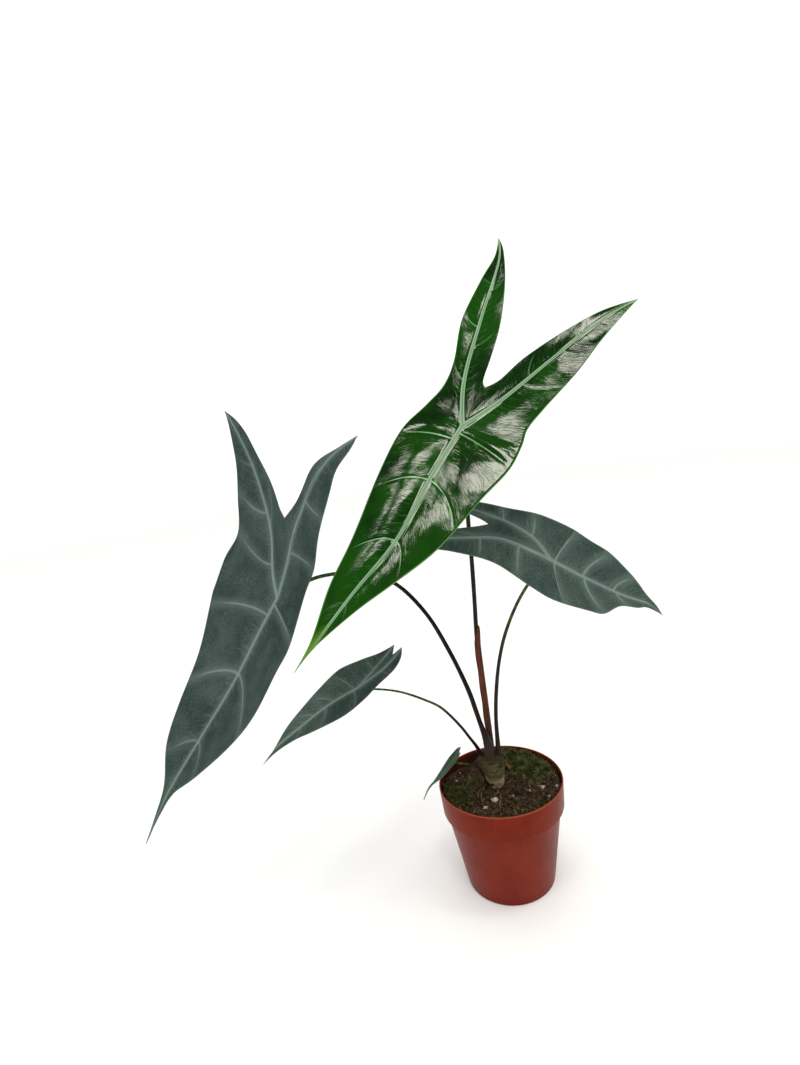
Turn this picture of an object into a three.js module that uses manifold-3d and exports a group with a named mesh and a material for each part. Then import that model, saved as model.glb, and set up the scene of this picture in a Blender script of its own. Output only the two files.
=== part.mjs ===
// Potted Alocasia longiloba: five arrow-shaped leaves on slender stalks, in a
// thin plastic nursery pot. Millimetres, +Z up, origin at the middle of the
// pot's flat base.
import * as THREE from 'three';
import { mergeVertices } from 'three/addons/utils/BufferGeometryUtils.js';
import Module from 'manifold-3d';

const wasm = await Module();
wasm.setup();

// Driving dimensions of the pot
const POT_HEIGHT = 105;
const RIM_RADIUS = 60;
const POT_WALL = 1.2;
const BODY_TOP_RADIUS = 55.5;
const BASE_RADIUS = 43;
const COLLAR_HEIGHT = 26;
const DRAIN_COUNT = 8;
const DRAIN_RADIUS = 4;
const DRAIN_CIRCLE = 31;
const POT_SIDES = 64;

// Driving dimensions of the soil
const SOIL_LEVEL = 97.5;
const SOIL_FROM_WALL = 0.35;
const SOIL_SECTORS = 44;
const SOIL_RINGS = 9;
const CRUMB_HEIGHT = 1.3;
const SMALL_GRAINS = 4;

// Clearance between pieces that touch
const GAP = 0.3;

// Driving dimensions shared by the leaf blades
const BLADE_THICKNESS = 0.7;
const VEIN_RISE = 0.45;
const STALK_SIDES = 10;

// Share of a stalk's length over which its clasping foot narrows
const FOOT_ENDS = [0.02, 0.13];

// Colours and finishes
const looks = {
  pot: new THREE.MeshStandardMaterial({ color: 0x8a3418, roughness: 0.45, metalness: 0 }),
  soil: new THREE.MeshStandardMaterial({ color: 0x2e2218, roughness: 0.95, metalness: 0 }),
  stock: new THREE.MeshStandardMaterial({ color: 0x4c4a2c, roughness: 0.9, metalness: 0 }),
  bud: new THREE.MeshStandardMaterial({ color: 0x9a6a5c, roughness: 0.6, metalness: 0 }),
  sheath: new THREE.MeshStandardMaterial({ color: 0x64302a, roughness: 0.6, metalness: 0 }),
  stalk: new THREE.MeshStandardMaterial({ color: 0x241a14, roughness: 0.4, metalness: 0 }),
  glossy: new THREE.MeshStandardMaterial({ color: 0x123f10, roughness: 0.18, metalness: 0 }),
  matt: new THREE.MeshStandardMaterial({ color: 0x38524e, roughness: 0.55, metalness: 0 }),
};

const group = new THREE.Group();

function place(name, geometry, material) {
  const mesh = new THREE.Mesh(geometry, material);
  mesh.name = name;
  group.add(mesh);
}

// Repeatable random numbers from 0 to 1
function randomFrom(seed) {
  let state = seed;
  return () => {
    state = (Math.imul(state, 1664525) + 1013904223) >>> 0;
    return state / 4294967296;
  };
}

// Joins corners that share a place, and drops the triangles that this empties
function welded(geometry) {
  const merged = mergeVertices(geometry, 1e-3);
  const index = merged.index.array;
  const kept = [];
  for (let i = 0; i < index.length; i += 3) {
    const [a, b, c] = [index[i], index[i + 1], index[i + 2]];
    if (a !== b && b !== c && c !== a) kept.push(a, b, c);
  }
  merged.setIndex(kept);
  return merged;
}

// A closed geometry from loose triangles, each a list of three points
function closedGeometry(triangles) {
  const positions = [];
  for (const corners of triangles) {
    for (const p of corners) positions.push(p.x, p.y, p.z);
  }
  const loose = new THREE.BufferGeometry();
  loose.setAttribute('position', new THREE.Float32BufferAttribute(positions, 3));
  return welded(loose);
}

function toSolid(geometry) {
  const bare = new THREE.BufferGeometry();
  bare.setAttribute('position', geometry.attributes.position);
  bare.setIndex(geometry.index);
  const merged = welded(bare);
  return new wasm.Manifold(new wasm.Mesh({
    numProp: 3,
    vertProperties: new Float32Array(merged.attributes.position.array),
    triVerts: new Uint32Array(merged.index.array),
  }));
}

function fromSolid(solid) {
  const mesh = solid.getMesh();
  const geometry = new THREE.BufferGeometry();
  geometry.setAttribute('position', new THREE.Float32BufferAttribute(mesh.vertProperties, 3));
  geometry.setIndex(Array.from(mesh.triVerts));
  return geometry;
}

// A flat cap over a ring that bulges outwards all round
function fanCap(ring) {
  const sum = ring.reduce((total, p) => total.add(p), new THREE.Vector3());
  const centre = sum.divideScalar(ring.length);
  return ring.map((p, j) => [centre, p, ring[(j + 1) % ring.length]]);
}

// A flat cap over a crescent, whose second half runs back beside its first
function crescentCap(ring) {
  const last = ring.length - 1;
  const triangles = [];
  for (let j = 0; j < (ring.length / 2) - 1; j++) {
    triangles.push([ring[j], ring[j + 1], ring[last - j - 1]]);
    triangles.push([ring[j], ring[last - j - 1], ring[last - j]]);
  }
  return triangles;
}

// Walls and caps round a row of rings that all have the same number of points
function skin(rings, cap = fanCap) {
  const triangles = [];
  for (let i = 0; i + 1 < rings.length; i++) {
    rings[i].forEach((p, j) => {
      const k = (j + 1) % rings[i].length;
      triangles.push([p, rings[i][k], rings[i + 1][k]], [p, rings[i + 1][k], rings[i + 1][j]]);
    });
  }
  const turned = cap(rings[0]).map(([a, b, c]) => [a, c, b]);
  return [...triangles, ...turned, ...cap(rings[rings.length - 1])];
}

// POT
// A thin moulded pot: flat base with drain holes, tapering body, and a wider
// collar that stands out above a step.
const STEP_HEIGHT = POT_HEIGHT - COLLAR_HEIGHT;
const STEP_RADIUS = RIM_RADIUS - 1.3;
// The inner wall from the rim down to the edge of the floor, as [radius, z]
const potInside = [
  [RIM_RADIUS - 1.3, POT_HEIGHT - 0.7],
  [STEP_RADIUS - POT_WALL, STEP_HEIGHT + POT_WALL + 0.3],
  [BODY_TOP_RADIUS - POT_WALL, STEP_HEIGHT + POT_WALL - 0.8],
  [BASE_RADIUS - POT_WALL, POT_WALL + 0.6],
];

function potGeometry() {
  const outline = [
    [0, 0],
    [BASE_RADIUS - 1, 0],
    [BASE_RADIUS, 1],
    [BODY_TOP_RADIUS, STEP_HEIGHT - 1],
    [STEP_RADIUS - 0.4, STEP_HEIGHT],
    [STEP_RADIUS, STEP_HEIGHT + 0.5],
    [RIM_RADIUS, POT_HEIGHT - 0.7],
    [RIM_RADIUS - 0.4, POT_HEIGHT],
    [RIM_RADIUS - 1, POT_HEIGHT],
    ...potInside,
    [0, POT_WALL + 0.6],
  ];
  const lathe = new THREE.LatheGeometry(outline.map(([r, z]) => new THREE.Vector2(r, z)), POT_SIDES);
  let solid = toSolid(lathe.rotateX(Math.PI / 2));
  const drain = new THREE.CylinderGeometry(DRAIN_RADIUS, DRAIN_RADIUS, 10, 12).rotateX(Math.PI / 2);
  for (let i = 0; i < DRAIN_COUNT; i++) {
    const turn = (2 * Math.PI * i) / DRAIN_COUNT;
    const hole = drain.clone().translate(DRAIN_CIRCLE * Math.cos(turn), DRAIN_CIRCLE * Math.sin(turn), 0);
    solid = solid.subtract(toSolid(hole));
  }
  return fromSolid(solid);
}

// STALKS
// Each stalk is a tapering tube through a few points, from its socket in the
// rootstock to just under its blade.
const stalks = {
  tall: {
    base: 2.4, foot: 0, top: 1.8, steps: 26,
    route: [[-4.6, 3.8, 127], [-4.8, 3.4, 160], [-5.2, 2, 198], [-5.5, 0, 249], [-3.5, -2, 289],
      [-2, -5, 325], [-1.5, -11, 361], [-1, -22, 401], [-1.2, -40, 434]],
  },
  left: {
    base: 2.7, foot: 2.2, top: 1.6, steps: 30,
    route: [[-7.4, -5.8, 127], [-7.8, -5.6, 142], [-9.4, -5, 153], [-12.4, -2, 166], [-15.2, 1.5, 180],
      [-18.8, 5, 197], [-31.7, 14, 236], [-49.5, 20, 276], [-74, 22, 308], [-100, 16, 324], [-127, 5, 330],
      [-149, -5, 330], [-168, -13, 323]],
  },
  right: {
    base: 2.3, foot: 0.5, top: 1.3, steps: 22,
    route: [[1.2, -4, 127], [1.4, -5, 144], [2.6, -8, 176], [6, -10, 204], [11, -13, 231], [18, -16, 255],
      [30, -20, 282], [42, -25, 302], [54, -32, 317]],
  },
  low: {
    base: 1.8, foot: 0.8, top: 0.8, steps: 22,
    route: [[-13.5, 0, 127], [-18.6, -3, 143], [-25, -8, 157], [-31.8, -12, 171], [-48.4, -20, 197],
      [-62, -27, 210], [-82.5, -38, 226], [-102, -50, 237], [-111, -55, 240]],
  },
  small: {
    base: 1.1, foot: 0, top: 0.7, steps: 20,
    route: [[-5, -5, 104], [-10.8, -10, 105.6], [-14.4, -12, 111.5], [-17.6, -14, 121], [-20.8, -16, 129.5],
      [-28, -21, 136.5], [-35, -25.5, 141.5]],
  },
};

// A stalk comes up to its blade's underside square on, with a small gap
function stalkCurve(name) {
  const leaf = leaves[name];
  const facing = new THREE.Vector3(...leaf.facing).normalize();
  const joint = new THREE.Vector3(...leaf.joint);
  const points = stalks[name].route.map((p) => new THREE.Vector3(...p));
  for (const below of [3 * stalks[name].top, 0]) {
    points.push(joint.clone().addScaledVector(facing, -leaf.ribDepth - 2 * GAP - below));
  }
  return new THREE.CatmullRomCurve3(points, false, 'centripetal');
}

function stalkRadius(stalk, along) {
  const foot = stalk.foot * (1 - THREE.MathUtils.smoothstep(along, ...FOOT_ENDS));
  return THREE.MathUtils.lerp(stalk.base, stalk.top, along ** 0.6) + foot;
}

function stalkGeometry(name, grow = 0) {
  const stalk = stalks[name];
  const curve = stalkCurve(name);
  const frames = curve.computeFrenetFrames(stalk.steps, false);
  const rings = [];
  for (let i = 0; i <= stalk.steps; i++) {
    const along = i / stalk.steps;
    const centre = curve.getPointAt(along);
    if (i === 0) centre.addScaledVector(frames.tangents[0], -grow);
    const radius = stalkRadius(stalk, along) + grow;
    const ring = [];
    for (let j = 0; j < STALK_SIDES; j++) {
      const turn = (2 * Math.PI * j) / STALK_SIDES;
      const p = centre.clone();
      p.addScaledVector(frames.normals[i], radius * Math.cos(turn));
      p.addScaledVector(frames.binormals[i], radius * Math.sin(turn));
      ring.push(p);
    }
    rings.push(ring);
  }
  return closedGeometry(skin(rings));
}

// BLADES
// Each blade is laid out flat, then bent. In the flat layout u runs along the
// midrib from the joint with the stalk (0, 0) to the tip and v runs across,
// with the left side negative. Each side has a costa that runs back from the
// joint into a rear lobe. edge goes from the tip to the end of the lobe, and
// waist is the place in it that faces the joint. inner goes from the notch
// between the lobes to the end of the lobe. Veins are given by where they
// leave their rib, as fractions of its length.
const leaves = {
  tall: {
    joint: [-2, -55, 447.5], toward: [-0.626, -0.375, -0.684], facing: [-0.1, -0.83, 0.55],
    bendTip: -0.0004, bendLobes: 0.0008, fold: 0.03, roll: -0.0003,
    ribWidth: 2.6, ribDepth: 2.6, dome: 1, wave: 1,
    look: 'glossy',
    midrib: [[0, 0], [52, 1], [108, 5], [164, -1], [227, -4]],
    left: {
      costa: [[0, 0], [-39, -20], [-102, -39], [-175, -60], [-207, -77]],
      edge: [[227, -4], [203, -7], [165, -18], [125, -25], [68, -37], [25, -42], [-5, -36],
        [-28, -33], [-54, -38], [-96, -54], [-146, -63], [-180, -67], [-207, -77]],
      waist: 6,
      inner: [[-40, -1], [-46, -6], [-71, -12], [-109, -23], [-155, -43], [-192, -64], [-207, -77]],
      midVeins: [0.06, 0.235, 0.48, 0.74],
      outerVeins: [0.2, 0.46, 0.7],
      innerVeins: [0.36, 0.66],
    },
    right: {
      costa: [[0, 0], [-34, 16], [-87, 33], [-145, 51], [-184, 68]],
      edge: [[227, -4], [205, -2], [172, 8], [137, 22], [98, 36], [52, 44], [19, 51], [-4, 50],
        [-20, 47], [-43, 50], [-82, 57], [-123, 60], [-155, 64], [-184, 68]],
      waist: 7,
      inner: [[-40, -1], [-52, 6], [-81, 13], [-116, 28], [-155, 46], [-184, 68]],
      midVeins: [0.03, 0.235, 0.48, 0.74],
      outerVeins: [0.31, 0.55, 0.78],
      innerVeins: [0.36, 0.66],
    },
  },
  left: {
    joint: [-178, -20, 321.5], toward: [-0.48, -0.17, -0.86], facing: [-0.61, -0.64, 0.467],
    bendTip: -0.0015, bendLobes: -0.0028, fold: 0.22, roll: 0.0008,
    ribWidth: 1.9, ribDepth: 2.4, dome: 0.8, wave: 0.8,
    look: 'matt',
    midrib: [[0, 0], [36, -6], [87, -9], [140, -13], [190, -11], [228, 2]],
    left: {
      costa: [[0, 0], [-20, -20], [-53, -39], [-99, -76], [-138, -111], [-155, -128]],
      edge: [[228, 2], [208, -9], [188, -20], [160, -42], [124, -54], [77, -60], [30, -71], [-10, -78],
        [-40, -76], [-71, -89], [-108, -106], [-137, -119], [-155, -128]],
      waist: 7,
      inner: [[-69, -19], [-75, -25], [-97, -48], [-131, -86], [-147, -108], [-155, -128]],
      midVeins: [0.08, 0.33, 0.62],
      outerVeins: [0.17, 0.42, 0.68],
      innerVeins: [0.36, 0.66],
    },
    right: {
      costa: [[0, 0], [-30, -2], [-66, -3], [-105, 10], [-132, 33], [-155, 71]],
      edge: [[228, 2], [205, -4], [186, -3], [162, 16], [120, 41], [88, 54], [50, 57], [28, 60], [2, 53],
        [-20, 50], [-43, 54], [-73, 46], [-105, 44], [-124, 47], [-143, 63], [-155, 71]],
      waist: 8,
      inner: [[-69, -19], [-85, -9], [-113, 4], [-129, 20], [-143, 46], [-155, 71]],
      midVeins: [0.03, 0.33, 0.62],
      outerVeins: [0.22, 0.48, 0.72],
      innerVeins: [0.4, 0.68],
    },
  },
  right: {
    joint: [61, -40, 325.5], toward: [0.842, -0.006, -0.54], facing: [0.32, -0.8, 0.507],
    bendTip: 0.0002, bendLobes: 0.0006, fold: 0.15, roll: 0,
    ribWidth: 1.7, ribDepth: 1.8, dome: 0.8, wave: 0.5,
    look: 'matt',
    midrib: [[0, 0], [31, -2], [69, -2], [95, 1], [110, -3]],
    left: {
      costa: [[0, 0], [-30, 0], [-52, -3], [-76, -14], [-108, -31], [-126, -44]],
      edge: [[110, -3], [95, -3], [85, -8], [69, -14], [55, -28], [41, -32], [9, -37], [-14, -34],
        [-49, -27], [-81, -31], [-105, -38], [-126, -44]],
      waist: 6,
      inner: [[-61, 7], [-69, 1], [-87, -10], [-107, -23], [-126, -44]],
      midVeins: [0.03, 0.3, 0.58],
      outerVeins: [0.22, 0.48, 0.74],
      innerVeins: [0.5, 0.75],
    },
    right: {
      costa: [[0, 0], [-20, 13], [-48, 17], [-74, 15], [-104, 13]],
      edge: [[110, -3], [103, 3], [91, 9], [74, 19], [51, 29], [29, 32], [5, 36], [-21, 36], [-47, 30],
        [-74, 24], [-104, 13]],
      waist: 6,
      inner: [[-61, 7], [-70, 9], [-88, 9], [-104, 13]],
      midVeins: [0.03, 0.28, 0.55],
      outerVeins: [0.24, 0.5, 0.75],
      innerVeins: [0.55, 0.78],
    },
  },
  low: {
    joint: [-116, -60, 245], toward: [-0.824, -0.509, -0.247], facing: [0, -0.439, 0.898],
    bendTip: 0.0008, bendLobes: 0.0005, fold: 0.28, roll: 0,
    ribWidth: 1.2, ribDepth: 1.4, dome: 0.5, wave: 0.3,
    look: 'matt',
    midrib: [[0, 0], [27, -3], [56, -2], [81, 0], [95, 5]],
    left: {
      costa: [[0, 0], [-21, -6], [-40, -12], [-53, -17]],
      edge: [[95, 5], [85, 1], [67, -8], [49, -14], [25, -20], [2, -23.5], [-20, -20.5], [-37, -17.5],
        [-53, -17]],
      waist: 5,
      inner: [[-44, -8], [-48, -12], [-53, -17]],
      midVeins: [0.03, 0.24, 0.45],
      outerVeins: [0.42],
      innerVeins: [0.7],
    },
    right: {
      costa: [[0, 0], [-27, -1], [-44, -5], [-56, -10]],
      edge: [[95, 5], [82, 3.6], [66, 6], [51, 11.5], [27, 18.5], [6, 16.5], [-11, 12], [-33, 7.5], [-47, 0],
        [-56, -10]],
      waist: 5,
      inner: [[-44, -8], [-50, -9], [-56, -10]],
      midVeins: [0.05, 0.34, 0.6],
      outerVeins: [0.45],
      innerVeins: [0.7],
    },
  },
  small: {
    joint: [-45.2, -31, 148.4], toward: [-0.597, 0.184, -0.781], facing: [-0.798, -0.238, 0.554],
    bendTip: 0, bendLobes: 0, fold: 0.5, roll: 0,
    ribWidth: 0.7, ribDepth: 1.1, dome: 0.2, wave: 0.1,
    look: 'matt',
    midrib: [[0, 0], [21, -1.4], [40, -4.4], [52.5, -0.5]],
    left: {
      costa: [[0, 0], [-8, -1.8], [-16, -3.2]],
      edge: [[52.5, -0.5], [46, -4], [40, -5.6], [33, -5], [25, -4.7], [16, -5], [6, -5.4], [-5, -5.6],
        [-12, -5.2], [-16, -3.2]],
      waist: 7,
      inner: [[-11.5, 0], [-14.4, -1], [-16, -3.2]],
      midVeins: [0.3, 0.6],
      outerVeins: [0.5],
      innerVeins: [0.7],
    },
    right: {
      costa: [[0, 0], [-7, 1.2], [-13.4, 1.4]],
      edge: [[52.5, -0.5], [46, -2.4], [40, -3.2], [33, -2.4], [25, 0.6], [16, 3.3], [6, 5], [-4, 5],
        [-10.5, 3.6], [-13.4, 1.4]],
      waist: 7,
      inner: [[-11.5, 0], [-12.8, 0.5], [-13.4, 1.4]],
      midVeins: [0.3, 0.6],
      outerVeins: [0.5],
      innerVeins: [0.7],
    },
  },
};

// How far a vein leans towards the tip of its rib: below 1 is a forward lean
const MID_LEAN = 0.7;
const LOBE_LEAN = 0.9;

// A vein leaves its rib square on and then sweeps forward. The sweep grows
// from none at the joint to its full power this far along the rib.
const VEIN_SWEEP = 0.8;
const SWEEP_FROM = 0.05;

// The stretch of a spline between two of its points, by fraction of its length
function stretch(points, from, to) {
  const spline = new THREE.SplineCurve(points.map(([u, v]) => new THREE.Vector2(u, v)));
  const count = 160;
  const walk = [];
  const lengths = [0];
  for (let i = 0; i <= count; i++) {
    walk.push(spline.getPoint(THREE.MathUtils.lerp(from, to, i / count) / (points.length - 1)));
    if (i > 0) lengths.push(lengths[i - 1] + walk[i].distanceTo(walk[i - 1]));
  }
  return (fraction) => {
    const target = fraction * lengths[count];
    let i = 1;
    while (i < count && lengths[i] < target) i++;
    const within = (target - lengths[i - 1]) / (lengths[i] - lengths[i - 1]);
    return walk[i - 1].clone().lerp(walk[i], within);
  };
}

// A place on the vein that runs from a rib to the edge, t of the way across
function alongVein(rib, fraction, rim, t) {
  const root = rib(fraction);
  const ahead = rib(Math.min(1, fraction + 0.01)).sub(rib(Math.max(0, fraction - 0.01))).normalize();
  const reach = rim.clone().sub(root);
  const forward = ahead.clone().multiplyScalar(reach.dot(ahead));
  const square = reach.sub(forward);
  const power = 1 + VEIN_SWEEP * THREE.MathUtils.smoothstep(fraction, 0, SWEEP_FROM);
  return root.addScaledVector(square, t).addScaledVector(forward, t ** power);
}

function distanceToRibs(leaf, u, v) {
  let nearest = Infinity;
  for (const rib of leaf.ribPaths) {
    for (let i = 0; i + 1 < rib.length; i++) {
      const a = rib[i];
      const b = rib[i + 1];
      const run = [b.x - a.x, b.y - a.y];
      const span = run[0] ** 2 + run[1] ** 2;
      const t = THREE.MathUtils.clamp(((u - a.x) * run[0] + (v - a.y) * run[1]) / span, 0, 1);
      nearest = Math.min(nearest, Math.hypot(u - a.x - t * run[0], v - a.y - t * run[1]));
    }
  }
  return nearest;
}

// From the flat layout to its place in the plant. lift is the height over the
// bent midrib plane.
function bladePoint(leaf, u, v, lift) {
  const bend = u >= 0 ? leaf.bendTip : leaf.bendLobes;
  const away = Math.sign(u);
  const angle = bend * Math.abs(u);
  const along = bend === 0 ? u : (Math.sin(angle) / bend) * away;
  const drop = bend === 0 ? 0 : (1 - Math.cos(angle)) / bend;
  return leaf.jointPoint.clone()
    .addScaledVector(leaf.forward, along + lift * Math.sin(angle) * away)
    .addScaledVector(leaf.across, v)
    .addScaledVector(leaf.normal, lift * Math.cos(angle) - drop);
}

// Where a place on a rib lies between its veins: a whole number on each vein
function veinOrder(stops, fraction) {
  let i = 1;
  while (i < stops.length - 1 && stops[i] < fraction) i++;
  return i - 1 + (fraction - stops[i - 1]) / (stops[i] - stops[i - 1]);
}

// Places along a rib where the mesh has a column: both sides' veins, both
// ends, and one place between each two
function columnsOf(veinsOneSide, veinsOtherSide) {
  const veins = [...new Set([0, ...veinsOneSide, ...veinsOtherSide, 1])].sort((a, b) => a - b);
  const spread = veins.filter((f, i) => i === 0 || f - veins[i - 1] > 0.025);
  const columns = [];
  spread.forEach((f, i) => {
    if (i > 0) columns.push((spread[i - 1] + f) / 2);
    columns.push(f);
  });
  return columns;
}

function bladeGeometry(leaf) {
  leaf.jointPoint = new THREE.Vector3(...leaf.joint);
  leaf.forward = new THREE.Vector3(...leaf.toward).normalize();
  leaf.across = new THREE.Vector3(...leaf.facing).cross(leaf.forward).normalize();
  leaf.normal = leaf.forward.clone().cross(leaf.across);
  const whole = (points) => stretch(points, 0, points.length - 1);
  const midrib = whole(leaf.midrib);
  const costas = { left: whole(leaf.left.costa), right: whole(leaf.right.costa) };
  leaf.ribPaths = [midrib, costas.left, costas.right].map((rib) =>
    Array.from({ length: 17 }, (_, i) => rib(i / 16)));

  // Depths are measured along the blade's normal, so a steep fold needs more
  const thickness = BLADE_THICKNESS * Math.hypot(1, leaf.fold);
  const triangles = [];
  // One panel lies between a rib and the edge that faces it
  function panel(rib, ribEnd, edge, lean, columns, veins, mirrored, wavePhase) {
    const stops = [0, ...veins, 1];
    const grid = columns.map((fraction) => {
      const rim = edge(fraction ** lean);
      const width = rib(fraction).distanceTo(rim);
      const order = veinOrder(stops, fraction);
      const onVein = Math.abs(order - Math.round(order)) < 0.02 && fraction > 0 && fraction < 1;
      const ribWidth = Math.min(leaf.ribWidth * THREE.MathUtils.lerp(1, 0.45, fraction), width * 0.35);
      const ribDepth = THREE.MathUtils.lerp(leaf.ribDepth, ribEnd, fraction);
      const near = width > 0 ? ribWidth / width : 0;
      const rows = [0, near, near + (1 - near) * 0.35, near + (1 - near) * 0.7, 1];
      return rows.map((t, row) => {
        const flat = alongVein(rib, fraction, rim, t);
        const spread = distanceToRibs(leaf, flat.x, flat.y);
        const share = Math.min(1, width / 30);
        const dome = leaf.dome * share * Math.sin(Math.PI * order) ** 2 * Math.sin(Math.PI * t);
        const ripple = Math.sin(Math.PI * fraction) * Math.sin(11 * fraction + wavePhase);
        const wave = leaf.wave * share * t * t * ripple;
        const lift = leaf.fold * (Math.hypot(spread, 3) - 3) + leaf.roll * flat.y ** 2 + dome + wave;
        const vein = onVein && row > 0 && row < 4 ? VEIN_RISE * share * (1 - t) : 0;
        const depth = row === 0 ? Math.max(ribDepth, thickness) : thickness + vein;
        return {
          top: bladePoint(leaf, flat.x, flat.y, lift),
          under: bladePoint(leaf, flat.x, flat.y, lift - depth),
        };
      });
    });
    const add = (a, b, c) => triangles.push(mirrored ? [a, c, b] : [a, b, c]);
    for (let i = 0; i + 1 < grid.length; i++) {
      const [one, two] = [grid[i], grid[i + 1]];
      for (let r = 0; r + 1 < one.length; r++) {
        add(one[r].top, two[r + 1].top, two[r].top);
        add(one[r].top, one[r + 1].top, two[r + 1].top);
        add(one[r].under, two[r].under, two[r + 1].under);
        add(one[r].under, two[r + 1].under, one[r + 1].under);
      }
      const last = one.length - 1;
      add(one[last].top, one[last].under, two[last].under);
      add(one[last].top, two[last].under, two[last].top);
    }
  }

  for (const [name, side] of [['left', leaf.left], ['right', leaf.right]]) {
    const isRight = name === 'right';
    const toTip = stretch(side.edge, side.waist, 0);
    const toLobe = stretch(side.edge, side.waist, side.edge.length - 1);
    const midColumns = columnsOf(leaf.left.midVeins, leaf.right.midVeins);
    const lobeColumns = columnsOf(side.outerVeins, side.innerVeins);
    const costa = costas[name];
    panel(midrib, 0.8, toTip, MID_LEAN, midColumns, side.midVeins, isRight, 1);
    panel(costa, 0.8, toLobe, LOBE_LEAN, lobeColumns, side.outerVeins, !isRight, 4);
    panel(costa, 0.8, whole(side.inner), 1, lobeColumns, side.innerVeins, isRight, 2);
  }
  return closedGeometry(triangles);
}

for (const [name, leaf] of Object.entries(leaves)) {
  place(`blade_${name}`, bladeGeometry(leaf), looks[leaf.look]);
  place(`stalk_${name}`, stalkGeometry(name), looks.stalk);
}

// ROOTSTOCK
// A stubby, knobbly stem that leans to the left and narrows where it enters
// the soil. The stalks stand in sockets in its crown.
const rootstock = {
  sides: 16,
  rings: [[78, -3, -2, 3.5], [88, -3, -2, 5.5], [97, -3.5, -2, 6], [101, -3.8, -1.8, 6.8],
    [105, -4.2, -1.6, 8.2], [109, -4.5, -1.4, 9.3], [113, -4.9, -1.2, 10.3], [117, -5.3, -1, 10.8],
    [121, -5.8, -0.8, 11.4], [125, -6.2, -0.6, 11.9], [128.5, -6.5, -0.4, 12.2], [131.5, -6.6, -0.3, 11.4],
    [133.5, -6.6, -0.2, 9.4]],
};

function rootstockGeometry(grow = 0) {
  const rings = rootstock.rings.map(([z, x, y, radius], level) => {
    const ring = [];
    for (let j = 0; j < rootstock.sides; j++) {
      const turn = (2 * Math.PI * j) / rootstock.sides;
      const knob = 0.5 * Math.sin(3 * turn + level) + 0.3 * Math.sin(5 * turn - 2 * level);
      const reach = radius + knob + grow;
      const height = level === 0 ? z - grow : z;
      ring.push(new THREE.Vector3(x + reach * Math.cos(turn), y + reach * Math.sin(turn), height));
    }
    return ring;
  });
  return closedGeometry(skin(rings));
}

// SHEATH
// The papery scale leaf that still hugs the tallest stalk on its front right,
// open down its back and drawn out to a free point.
const sheath = { bottom: 132, top: 264, thickness: 0.7, facing: -0.95, wrap: 1.95, steps: 18 };

function sheathGeometry(grow = 0) {
  const stalk = stalks.tall;
  const path = stalkCurve('tall');
  const lengthOf = (z) => {
    let low = 0;
    let high = 1;
    for (let i = 0; i < 30; i++) {
      const middle = (low + high) / 2;
      if (path.getPointAt(middle).z < z) low = middle;
      else high = middle;
    }
    return low;
  };
  const rings = [];
  for (let i = 0; i <= sheath.steps; i++) {
    const up = i / sheath.steps;
    const z = THREE.MathUtils.lerp(sheath.bottom - grow, sheath.top + grow, up);
    const along = lengthOf(z);
    const centre = path.getPointAt(along);
    const hugged = stalkRadius(stalk, along) + 0.4;
    const free = THREE.MathUtils.clamp((up - 0.85) / 0.15, 0, 1);
    const inner = hugged - grow + 0.6 * free;
    const outer = hugged + sheath.thickness + grow + 0.6 * free;
    const wrap = sheath.wrap * (1 - free) ** 0.8 + 0.12 + grow / outer;
    const ring = [];
    const corners = 7;
    for (let j = 0; j <= corners; j++) {
      const turn = sheath.facing + wrap * ((2 * j) / corners - 1);
      ring.push(new THREE.Vector3(centre.x + outer * Math.cos(turn), centre.y + outer * Math.sin(turn), z));
    }
    for (let j = corners; j >= 0; j--) {
      const turn = sheath.facing + wrap * ((2 * j) / corners - 1);
      ring.push(new THREE.Vector3(centre.x + inner * Math.cos(turn), centre.y + inner * Math.sin(turn), z));
    }
    rings.push(ring);
  }
  return closedGeometry(skin(rings, crescentCap));
}

// BUD
// A pointed pink shoot that comes up through the moss behind the rootstock.
const bud = { foot: [16, 19.5, 96], lean: [-5.6, -0.4], height: 12, radius: 1.8 };

function budGeometry(grow = 0) {
  const rings = [];
  for (const [up, width] of [[0, 0.6], [0.25, 0.85], [0.5, 1], [0.75, 0.85], [0.9, 0.5], [1, 0.12]]) {
    const ring = [];
    for (let j = 0; j < 10; j++) {
      const turn = (2 * Math.PI * j) / 10;
      const reach = bud.radius * width + grow;
      ring.push(new THREE.Vector3(
        bud.foot[0] + bud.lean[0] * up + reach * Math.cos(turn),
        bud.foot[1] + bud.lean[1] * up + reach * Math.sin(turn),
        bud.foot[2] + bud.height * up - (up === 0 ? grow : 0),
      ));
    }
    rings.push(ring);
  }
  return closedGeometry(skin(rings));
}

// SOIL
// Fills the pot to a little under the rim. Its crumbly top rises to a moss
// mound at the back right and a clod at the left, with a hollow behind it.
// Pale grains lie in it, each given as x, y and radius.
const largeGrains = [[-10, -24, 3.2], [-20, -32, 2.1], [38, -15, 2.4], [24, -18, 1.5], [51, -16, 1.5],
  [-49, -12, 1.5], [40, -29, 1.5]];

// Moss mound, hump round the rootstock, clod and hollow: x, y, height, spread
const soilRises = [[20, 42, 7.2, 30], [-3, -2, 2.2, 16], [-33, 2, 2.6, 14], [-26, 40, -4.5, 18]];

function soilHeight(x, y) {
  const slope = 0.02 * x - 0.022 * y;
  let rises = 0;
  for (const [cx, cy, height, spread] of soilRises) {
    rises += height * Math.exp(-((x - cx) ** 2 + (y - cy) ** 2) / spread ** 2);
  }
  const crumbs = Math.sin(0.41 * x + 1.3) * Math.sin(0.37 * y + 0.4) + 0.6 * Math.sin(0.83 * x - 0.71 * y);
  return SOIL_LEVEL + slope + rises + CRUMB_HEIGHT * 0.6 * crumbs;
}

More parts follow.
